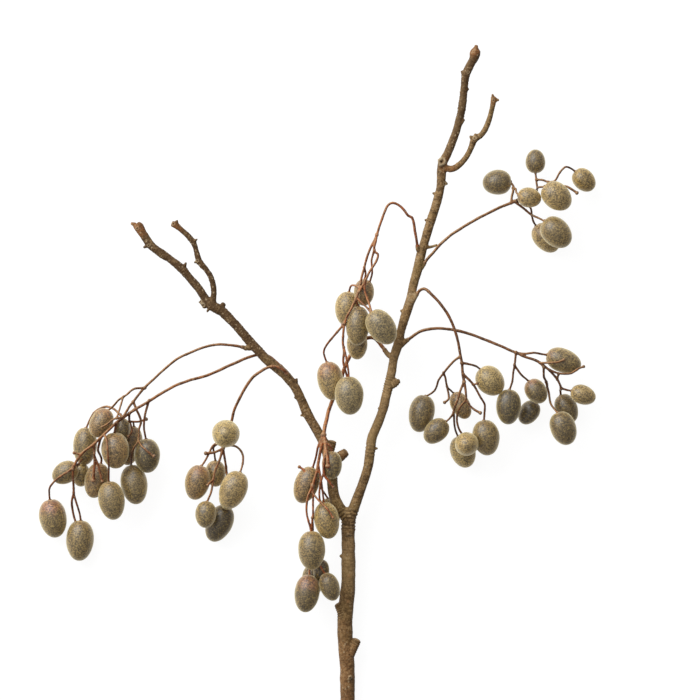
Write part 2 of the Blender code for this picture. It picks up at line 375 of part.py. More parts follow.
            (1.1, 1.0, [(48.4, 128.6, 28.0), (53.9, 132.2, 28.5), (61.9, 134.4, 28.5), (69.9, 134.7, 28.0),
                        (79.1, 133.5, 27.5), (88.3, 131.6, 27.5), (99.8, 127.5, 27.5),
                        (111.8, 122.7, 28.0), (121.4, 118.5, 28.5), (126.3, 116.3, 29.0),
                        (132.5, 113.6, 29.0), (138.8, 111.4, 29.0), (144.4, 108.6, 29.0),
                        (146.9, 105.8, 28.6)], None),
            (0.9, 0.7, [(126.0, 116.6, 29.0), (125.4, 111.8, 28.5), (124.8, 106.7, 28.0),
                        (123.8, 101.3, 27.0), (123.5, 95.0, 25.6)], 1),
            (0.8, 0.7, [(124.9, 107.2, 28.0), (129.5, 100.5, 25.4), (132.5, 97.6, 23.0)], 3),
            (0.9, 0.7, [(126.0, 116.4, 29.0), (132.5, 115.7, 29.2), (140.0, 116.4, 29.0),
                        (145.4, 115.4, 26.8)], 4),
            (0.9, 0.7, [(146.8, 106.2, 28.6), (147.2, 98.0, 21.0), (150.0, 92.0, 11.0),
                        (147.0, 85.0, 7.8)], 2),
            (0.8, 0.8, [(146.6, 106.2, 28.8), (150.0, 104.4, 29.2), (155.0, 101.8, 29.8),
                        (161.3, 100.6, 30.4), (167.4, 101.0, 31.0), (172.4, 104.3, 31.4),
                        (176.7, 106.1, 31.4)], None),
            (0.8, 0.8, [(144.0, 108.8, 29.0), (151.2, 108.9, 33.6), (157.5, 109.5, 35.0),
                        (161.8, 111.2, 35.2)], None),
            (0.9, 0.8, [(146.0, 107.4, 28.8), (151.2, 103.4, 26.5), (155.0, 99.3, 25.0),
                        (157.5, 96.0, 24.0), (160.2, 89.3, 22.0), (159.6, 88.6, 14.0)], 6),
            (0.8, 0.8, [(157.0, 96.6, 24.2), (157.9, 100.4, 27.0)], None),
            (0.8, 0.7, [(160.1, 89.8, 22.3), (164.0, 88.6, 21.6)], 5),
            (0.9, 0.7, [(149.0, 94.5, 15.0), (151.2, 86.0, 13.4), (152.4, 78.5, 19.0),
                        (155.2, 73.8, 23.6)], 7),
        ],
    },
    "spray_upper_right": {
        "foot": [(51.4, 176.4, 28.5), (55.6, 181.2, 29.4), (59.4, 186.6, 30.4)],
        "collar": (2.6, 1.4),
        "fruits": {
            1: (112.0, 244.5, 20.0, 21.8, 18.8, -85, 0),
            2: (140.9, 260.3, 16.0, 18.0, 14.8, 180, 0),
            3: (177.5, 246.3, 14.0, 19.5, 15.8, 45, 0),
            4: (136.0, 232.8, 29.0, 18.0, 15.0, 80, 0),
            5: (156.3, 233.7, 33.4, 24.8, 19.9, 50, 0),
            6: (149.0, 202.8, 8.7, 24.8, 18.0, 40, 0),
            7: (156.2, 206.6, 29.0, 26.3, 20.8, 45, 0),
        },
        "stalks": [
            (1.1, 1.0, [(59.4, 186.6, 30.4), (63.6, 191.2, 31.0), (70.1, 198.4, 31.5), (78.0, 205.1, 32.0),
                        (89.6, 212.6, 32.0), (99.4, 218.3, 31.0), (108.4, 222.8, 30.0),
                        (117.3, 226.8, 28.0), (125.4, 230.0, 26.0)], None),
            (0.9, 0.8, [(122.4, 229.0, 26.6), (123.0, 234.5, 25.0), (124.2, 241.4, 22.4)], 1),
            (0.8, 0.7, [(124.0, 240.0, 22.8), (125.8, 239.6, 24.6), (126.2, 237.0, 27.4)], 4),
            (0.9, 0.7, [(124.8, 229.9, 26.0), (132.8, 224.0, 25.0), (137.6, 220.3, 25.0),
                        (142.4, 217.8, 27.0)], 7),
            (0.8, 0.7, [(125.0, 229.8, 25.6), (133.0, 228.5, 19.4), (137.6, 224.8, 18.2),
                        (138.2, 219.6, 15.6), (139.6, 215.2, 11.4)], 6),
            (0.9, 0.7, [(125.0, 230.2, 25.6), (131.5, 233.6, 19.4), (142.0, 238.2, 18.0),
                        (141.8, 243.5, 17.4)], 2),
            (0.8, 0.7, [(141.8, 246.5, 17.0), (146.6, 246.0, 19.6), (150.5, 244.6, 20.6),
                        (155.5, 245.5, 21.0), (158.0, 250.0, 21.0), (163.2, 256.1, 19.6),
                        (168.4, 254.6, 16.0)], 3),
            (0.8, 0.9, [(150.3, 244.7, 20.6), (158.0, 242.0, 20.4), (164.5, 241.3, 23.6),
                        (171.8, 236.3, 26.0)], None),
            (0.8, 0.7, [(141.6, 238.2, 18.0), (143.2, 240.6, 27.0)], 5),
        ],
    },
}


def clear_scene():
    """Take away whatever the scene starts with."""
    for thing in list(bpy.data.objects):
        bpy.data.objects.remove(thing, do_unlink=True)


def new_collection(name):
    """Add a collection to the scene."""
    collection = bpy.data.collections.new(name)
    bpy.context.scene.collection.children.link(collection)
    return collection


def material(name, colour, roughness):
    """A plain finish for a sub-part."""
    finish = bpy.data.materials.new(name)
    finish.use_nodes = True
    shader = finish.node_tree.nodes["Principled BSDF"]
    shader.inputs["Base Color"].default_value = colour
    shader.inputs["Roughness"].default_value = roughness
    shader.inputs["Metallic"].default_value = 0.0
    return finish


def tube(points, radii, level, collection):
    """A round stem through the points, as a curve whose radius changes from point to point."""
    curve = bpy.data.curves.new("stem", "CURVE")
    curve.dimensions = "3D"
    curve.bevel_depth = MM
    curve.bevel_resolution = level
    curve.use_fill_caps = True
    spline = curve.splines.new("POLY")
    spline.points.add(len(points) - 1)
    for knot, place, radius in zip(spline.points, points, radii):
        knot.co = (*(Vector(place) * MM), 1.0)
        knot.radius = radius
    stem = bpy.data.objects.new("stem", curve)
    collection.objects.link(stem)
    return stem


def wood_tube(knots, level, collection):
    """A stem of the wood, from points that carry their own radius."""
    return tube([knot[:3] for knot in knots], [knot[3] for knot in knots], level, collection)


def stalk_radii(start, end, count):
    """Radii that run evenly from a stalk's start to its end."""
    return [start + (end - start) * step / (count - 1) for step in range(count)]


def curves_to_meshes(collection):
    """Turn each curve in the collection into a closed mesh in the same place."""
    depsgraph = bpy.context.evaluated_depsgraph_get()
    for stem in [thing for thing in collection.objects if thing.type == "CURVE"]:
        mesh = bpy.data.meshes.new_from_object(stem.evaluated_get(depsgraph))
        form = bmesh.new()
        form.from_mesh(mesh)
        bmesh.ops.remove_doubles(form, verts=form.verts, dist=WELD * MM)
        form.to_mesh(mesh)
        form.free()
        solid = bpy.data.objects.new(stem.name + "_solid", mesh)
        solid.matrix_world = stem.matrix_world
        collection.objects.link(solid)
        bpy.data.objects.remove(stem, do_unlink=True)


def fruit_direction(tilt, pitch):
    """The way a fruit's tip points."""
    turn = math.radians(tilt)
    lift = math.radians(pitch)
    return Vector((math.sin(turn) * math.cos(lift), -math.cos(turn) * math.cos(lift), math.sin(lift)))


def fruit_solid(fruit, collection):
    """An egg-shaped fruit, with its poles at its stalk and its tip."""
    x, y, z, length, width, tilt, pitch = fruit
    form = bmesh.new()
    bmesh.ops.create_uvsphere(form, u_segments=FRUIT_SIDES, v_segments=FRUIT_RINGS, radius=1.0)
    for vertex in form.verts:
        fullness = 1.0 + EGG * vertex.co.z
        vertex.co.x *= fullness
        vertex.co.y *= fullness
    size = Matrix.Diagonal((width / 2, width / 2, length / 2, 1.0))
    turn = Vector((0, 0, -1)).rotation_difference(fruit_direction(tilt, pitch)).to_matrix().to_4x4()
    place = Matrix.Translation((x, y, z))
    form.transform(Matrix.Scale(MM, 4) @ place @ turn @ size)
    mesh = bpy.data.meshes.new("fruit")
    form.to_mesh(mesh)
    form.free()
    solid = bpy.data.objects.new("fruit", mesh)
    collection.objects.link(solid)
    return solid


def stalk_end(fruit):
    """The point just inside a fruit where its stalk ends."""
    x, y, z, length, width, tilt, pitch = fruit
    return Vector((x, y, z)) - fruit_direction(tilt, pitch) * (length / 2 - SUNK)


def foot_parts(foot):
    """Split a spray's foot: the run of the wood's collar, and the stalk's first point past the gap."""
    before = Vector(foot[-2])
    after = Vector(foot[-1])
    middle = (before + after) / 2
    half_gap = (after - before).normalized() * GAP / 2
    collar = [Vector(place) for place in foot[:-1]] + [middle - half_gap]
    return collar, middle + half_gap


def floor_cutter(collection):
    """The block under the surface, which leaves small flat spots where the branch rests."""
    bpy.ops.mesh.primitive_cube_add(size=MM, location=(0, 0, -BLOCK_DEPTH * MM / 2))
    block = bpy.context.object
    block.name = "surface_block"
    block.scale = (BLOCK_SIDE, BLOCK_SIDE, BLOCK_DEPTH)
    block.hide_render = True
    block.display_type = "WIRE"
    for home in list(block.users_collection):
        home.objects.unlink(block)
    collection.objects.link(block)
    return block


def boolean(target, name, operation):
    """Add a Boolean modifier to an object."""
    step = target.modifiers.new(name, "BOOLEAN")
    step.operation = operation
    step.solver = "EXACT"
    return step


def fuse(name, pieces, floor, finish, home, frame):
    """Join a collection of overlapping pieces in one body, cut flat where it rests."""
    curves_to_meshes(pieces)
    first, *others = list(pieces.objects)
    pieces.objects.unlink(first)
    home.objects.link(first)
    join = boolean(first, "join", "UNION")
    join.operand_type = "COLLECTION"
    join.collection = pieces
    boolean(first, "rest", "DIFFERENCE").object = floor
    bpy.context.view_layer.update()
    depsgraph = bpy.context.evaluated_depsgraph_get()
    mesh = bpy.data.meshes.new_from_object(first.evaluated_get(depsgraph))
    mesh.materials.clear()
    mesh.materials.append(finish)
    mesh.shade_smooth()
    body = bpy.data.objects.new(name, mesh)
    home.objects.link(body)
    body.parent = frame
    for piece in [first] + others:
        bpy.data.objects.remove(piece, do_unlink=True)
    bpy.data.collections.remove(pieces)
    return body


def wood_pieces(collection):
    """Every stem, stub, spur and collar of the wood."""
    for stem in (MAIN_STEM, LEFT_LEADER, RIGHT_LEADER):
        wood_tube(stem, WOOD_SIDES, collection)
    for twig in (LEFT_TWIG, RIGHT_TWIG):
        wood_tube(twig, TWIG_SIDES, collection)
    for stub in STUBS:
        wood_tube(stub, TWIG_SIDES, collection)
    for spur in SPURS:
        wood_tube(spur, FINE_SIDES, collection)
    for spray in SPRAYS.values():
        collar = foot_parts(spray["foot"])[0]
        tube(collar, stalk_radii(*spray["collar"], len(collar)), TWIG_SIDES, collection)


def spray_pieces(spray, collection):
    """The stalks and fruits of one spray."""
    start = foot_parts(spray["foot"])[1]
    for index, (first_radius, last_radius, points, number) in enumerate(spray["stalks"]):
        route = [Vector(place) for place in points]
        if index == 0:
            route = [start] + route
        if number is not None:
            route.append(stalk_end(spray["fruits"][number]))
        sides = STALK_SIDES if index == 0 else FINE_SIDES
        tube(route, stalk_radii(first_radius, last_radius, len(route)), sides, collection)
    for fruit in spray["fruits"].values():
        fruit_solid(fruit, collection)


def main():
    clear_scene()
    home = new_collection("fruiting_branch")
    cutters = new_collection("cutters")
    floor = floor_cutter(cutters)
    frame = bpy.data.objects.new("fork", None)
    frame.location = (FORK_X * MM, FORK_Y * MM, 0.0)
    home.objects.link(frame)

    pieces = new_collection("wood_pieces")
    wood_pieces(pieces)
    fuse("branch_wood", pieces, floor, material("bark", BARK_COLOUR, BARK_ROUGHNESS), home, frame)

    for name, spray in SPRAYS.items():
        pieces = new_collection(name + "_pieces")
        spray_pieces(spray, pieces)
        skin = material(name + "_skin", FRUIT_COLOUR, FRUIT_ROUGHNESS)
        fuse(name, pieces, floor, skin, home, frame)


main()
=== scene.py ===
"""A cut fruiting branch, dressed: its bark, its stalks and its downy, egg-shaped fruits.

Every place on the branch is in millimetres, with the fork of the branch at X = 0, Y = 0. X runs to the right,
Y runs towards the tips, and Z is the height over the surface that the branch lies on.
"""
import math
import random

import bmesh
import bpy
import numpy as np
from bpy.props import FloatProperty, FloatVectorProperty, IntProperty, PointerProperty
from mathutils import Matrix, Vector, kdtree, noise


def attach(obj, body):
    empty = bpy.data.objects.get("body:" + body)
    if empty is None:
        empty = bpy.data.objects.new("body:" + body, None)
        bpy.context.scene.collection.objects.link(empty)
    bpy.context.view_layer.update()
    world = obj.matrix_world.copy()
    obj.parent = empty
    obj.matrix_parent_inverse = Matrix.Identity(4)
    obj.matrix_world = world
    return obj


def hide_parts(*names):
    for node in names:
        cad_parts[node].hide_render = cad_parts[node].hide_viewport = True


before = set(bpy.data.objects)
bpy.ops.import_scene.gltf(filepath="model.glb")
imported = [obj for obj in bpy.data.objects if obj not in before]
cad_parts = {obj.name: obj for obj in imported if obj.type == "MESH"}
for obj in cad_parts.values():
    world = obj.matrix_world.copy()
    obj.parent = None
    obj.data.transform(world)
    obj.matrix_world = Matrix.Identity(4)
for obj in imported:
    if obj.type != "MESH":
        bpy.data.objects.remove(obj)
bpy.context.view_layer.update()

bl_info = {
    "name": "Fruiting Branch",
    "version": (1, 0, 0),
    "blender": (4, 5, 0),
    "location": "View3D > Sidebar > Branch",
    "description": "Builds the bark, the stalks and the downy fruits of a cut fruiting branch",
    "category": "Object",
}

MM = 0.001

# The fork's place, seen from the middle of the whole branch's outline on the surface.
FORK = Vector((23.3, -86.6, 0.0))
BODY = "root"

# Woody stems, each a list of points (X, Y, Z, radius).
MAIN_STEM = [
    (0.0, -174.0, 5.2, 5.6), (-0.4, -144.0, 7.4, 5.6), (-0.7, -118.5, 9.5, 5.7), (-2.1, -99.0, 11.5, 5.9),
    (-2.1, -80.0, 13.5, 5.9), (-0.2, -61.0, 15.5, 5.3), (0.3, -37.0, 18.0, 5.3), (0.0, -18.0, 20.0, 5.1),
    (0.2, -14.5, 20.3, 5.4), (0.3, -12.5, 20.5, 5.1), (0.4, -10.5, 20.7, 5.5), (0.5, -8.5, 20.9, 5.2),
    (0.4, -6.5, 21.1, 5.6), (0.1, -3.0, 21.4, 5.0), (0.0, 0.5, 21.6, 3.4),
]
LEFT_LEADER = [
    (-1.6, -6.0, 21.0, 4.6), (-6.8, 0.4, 21.5, 4.4), (-10.7, 10.4, 22.0, 4.1), (-12.0, 22.4, 22.5, 4.2),
    (-14.4, 36.0, 23.0, 4.0), (-19.0, 50.2, 23.5, 3.7), (-22.9, 57.4, 24.0, 3.5), (-30.5, 70.5, 24.5, 3.6),
    (-35.7, 82.7, 25.0, 3.3), (-40.8, 92.0, 25.5, 3.4), (-47.4, 99.7, 26.0, 3.5),
    (-59.5, 110.0, 26.5, 3.6), (-68.3, 119.1, 27.0, 3.6), (-76.4, 127.9, 27.5, 3.5),
    (-86.3, 139.4, 28.0, 3.5), (-94.4, 147.5, 28.0, 3.7), (-101.5, 151.5, 28.5, 3.8),
    (-106.6, 156.4, 28.5, 3.2), (-111.6, 163.9, 29.0, 3.1), (-118.1, 171.7, 29.0, 3.1),
    (-124.2, 179.1, 29.5, 3.1), (-131.3, 184.9, 30.0, 3.0), (-138.1, 189.7, 30.0, 3.1),
    (-144.2, 194.1, 30.5, 3.1), (-148.6, 197.8, 30.5, 3.2), (-153.0, 204.5, 31.0, 3.1),
    (-155.4, 208.4, 31.0, 3.6), (-157.2, 211.2, 31.3, 3.9), (-158.8, 212.8, 31.5, 2.9),
]
RIGHT_LEADER = [
    (1.6, -6.0, 21.0, 4.6), (4.2, -0.5, 21.5, 4.3), (6.7, 6.3, 22.0, 3.9), (11.3, 18.9, 22.5, 3.7),
    (15.3, 30.7, 23.0, 3.5), (16.8, 43.5, 23.5, 3.7), (18.1, 53.4, 24.0, 3.6), (22.8, 64.0, 24.5, 3.6),
    (26.7, 75.2, 25.0, 3.6), (28.2, 82.5, 25.5, 3.4), (30.2, 90.8, 26.0, 3.6), (32.8, 103.4, 26.0, 3.4),
    (34.6, 113.4, 26.5, 3.5), (37.2, 121.4, 27.0, 3.5), (39.9, 133.5, 27.0, 3.4), (41.8, 140.2, 27.5, 3.4),
    (46.2, 154.3, 28.0, 3.6), (48.7, 165.9, 28.0, 3.3), (51.6, 177.0, 28.5, 3.5), (54.8, 190.9, 29.0, 3.6),
    (58.2, 202.3, 29.0, 3.4), (62.4, 215.8, 29.5, 3.4), (67.0, 230.8, 30.0, 3.3), (69.0, 238.4, 30.0, 3.2),
    (70.0, 247.5, 30.0, 3.3), (70.8, 258.0, 30.5, 3.7), (74.2, 264.6, 31.0, 3.1), (77.8, 273.7, 31.0, 3.0),
    (81.4, 283.6, 31.5, 3.0), (84.1, 293.7, 31.5, 3.0), (86.0, 305.3, 32.0, 3.0), (87.1, 316.5, 32.0, 3.0),
    (88.5, 325.7, 32.5, 3.2), (92.0, 333.1, 32.5, 3.2), (94.0, 336.6, 33.0, 3.6), (95.2, 340.8, 33.0, 4.2),
    (95.5, 343.0, 33.0, 3.5), (96.0, 345.3, 33.0, 1.6), (96.2, 347.2, 33.0, 1.2),
]
LEFT_TWIG = [
    (-101.2, 153.3, 28.8, 2.5), (-100.5, 162.0, 30.0, 2.2), (-101.0, 167.2, 30.8, 2.2),
    (-103.1, 173.5, 31.5, 2.2), (-106.8, 179.3, 32.3, 2.1), (-111.8, 185.3, 33.0, 2.5),
    (-113.9, 193.4, 33.8, 2.0), (-115.9, 198.7, 34.4, 2.2), (-120.2, 204.3, 35.0, 2.1),
    (-124.9, 208.4, 35.5, 2.1), (-129.9, 212.5, 36.0, 2.5), (-132.2, 213.3, 36.0, 2.0),
]
RIGHT_TWIG = [
    (70.9, 255.9, 30.4, 2.5), (77.5, 254.1, 31.5, 2.4), (83.3, 257.3, 32.3, 2.3), (89.2, 264.0, 33.0, 2.2),
    (92.6, 271.2, 33.6, 2.1), (94.7, 276.6, 34.0, 2.6), (99.4, 279.4, 34.4, 2.1),
    (103.6, 285.5, 34.8, 2.1), (106.6, 293.4, 35.2, 2.0), (108.4, 301.2, 35.6, 2.0),
    (109.1, 306.5, 36.0, 2.2), (109.0, 308.0, 36.0, 1.8),
]

# Short side pieces of the wood: cut stubs, spurs, thorns and buds, each a list of points (X, Y, Z, radius).
STUBS = [
    [(-3.0, -83.0, 14.0, 3.6), (-7.5, -72.6, 16.0, 3.0)],
    [(1.5, -110.5, 11.5, 3.8), (6.8, -99.6, 13.6, 3.2)],
    [(-14.4, 39.5, 23.8, 3.4), (-11.6, 49.8, 26.0, 3.2)],
    [(-11.5, 34.8, 23.2, 4.6), (-6.0, 38.6, 24.0, 4.0), (-1.2, 42.0, 24.5, 3.1)],
    [(31.0, 92.0, 26.0, 3.6), (36.0, 94.4, 26.5, 3.2), (38.2, 95.2, 26.5, 1.8)],
]
SPURS = [
    [(-2.5, -37.4, 18.5, 1.9), (-5.6, -36.3, 19.0, 1.1)],
    [(0.5, -20.5, 22.0, 1.6), (0.6, -20.2, 25.7, 1.1)],
    [(1.5, -128.0, 10.0, 1.6), (1.6, -127.6, 15.4, 1.1)],
    [(-32.0, 69.8, 24.5, 1.6), (-35.2, 69.4, 25.0, 0.9)],
    [(-36.3, 82.0, 25.0, 1.6), (-39.8, 82.7, 25.5, 0.9)],
    [(-39.0, 92.6, 25.5, 1.6), (-38.4, 96.6, 26.0, 0.9)],
    [(-103.4, 151.4, 28.5, 1.6), (-105.4, 147.4, 29.0, 0.9)],
    [(-95.5, 149.0, 28.0, 2.4), (-93.6, 152.6, 28.5, 2.0)],
    [(-106.4, 155.3, 28.5, 2.6), (-108.4, 153.4, 29.2, 2.1)],
    [(-110.8, 155.4, 29.0, 1.5), (-107.6, 151.0, 29.0, 1.5)],
    [(-123.3, 179.6, 29.5, 1.7), (-121.6, 183.6, 30.5, 1.0)],
    [(-148.0, 197.0, 30.5, 1.6), (-152.8, 195.6, 31.0, 1.0)],
    [(-111.8, 185.0, 33.0, 1.6), (-114.7, 184.2, 33.8, 1.0)],
    [(-115.6, 199.4, 34.4, 1.5), (-113.7, 201.2, 34.8, 0.9)],
    [(-127.8, 211.0, 35.6, 1.5), (-127.9, 215.4, 36.6, 1.0)],
    [(-158.6, 211.6, 31.5, 1.8), (-161.8, 213.3, 32.0, 1.3)],
    [(17.6, 44.0, 23.5, 1.6), (21.8, 44.6, 24.0, 0.9)],
    [(27.0, 73.7, 25.0, 1.6), (22.9, 74.8, 25.8, 0.9)],
    [(43.4, 147.0, 27.8, 1.6), (39.7, 148.0, 28.2, 1.0)],
    [(57.0, 196.5, 29.0, 1.5), (61.0, 195.6, 29.6, 1.2), (66.4, 197.2, 30.4, 1.0)],
    [(61.6, 214.5, 29.5, 1.5), (57.9, 216.0, 30.0, 0.9)],
    [(67.4, 234.5, 30.0, 1.5), (63.9, 236.0, 30.5, 0.9)],
    [(69.4, 243.0, 30.0, 1.8), (73.6, 243.4, 30.6, 1.3)],
    [(70.3, 258.8, 32.0, 3.2), (70.0, 259.4, 34.4, 2.6)],
    [(83.8, 287.2, 32.0, 1.6), (86.8, 290.8, 33.0, 1.0)],
    [(87.0, 322.0, 32.5, 1.7), (85.2, 327.2, 33.0, 0.9)],
    [(87.4, 314.5, 32.0, 1.5), (89.7, 314.0, 32.4, 1.0)],
    [(94.2, 276.0, 34.0, 1.7), (91.9, 278.3, 35.0, 1.2)],
    [(95.0, 276.5, 34.2, 1.6), (95.4, 279.6, 35.6, 1.2)],
    [(109.0, 306.0, 36.0, 1.7), (112.2, 305.6, 36.6, 1.1)],
    [(108.9, 306.5, 36.0, 2.1), (108.1, 309.6, 36.6, 0.9)],
]

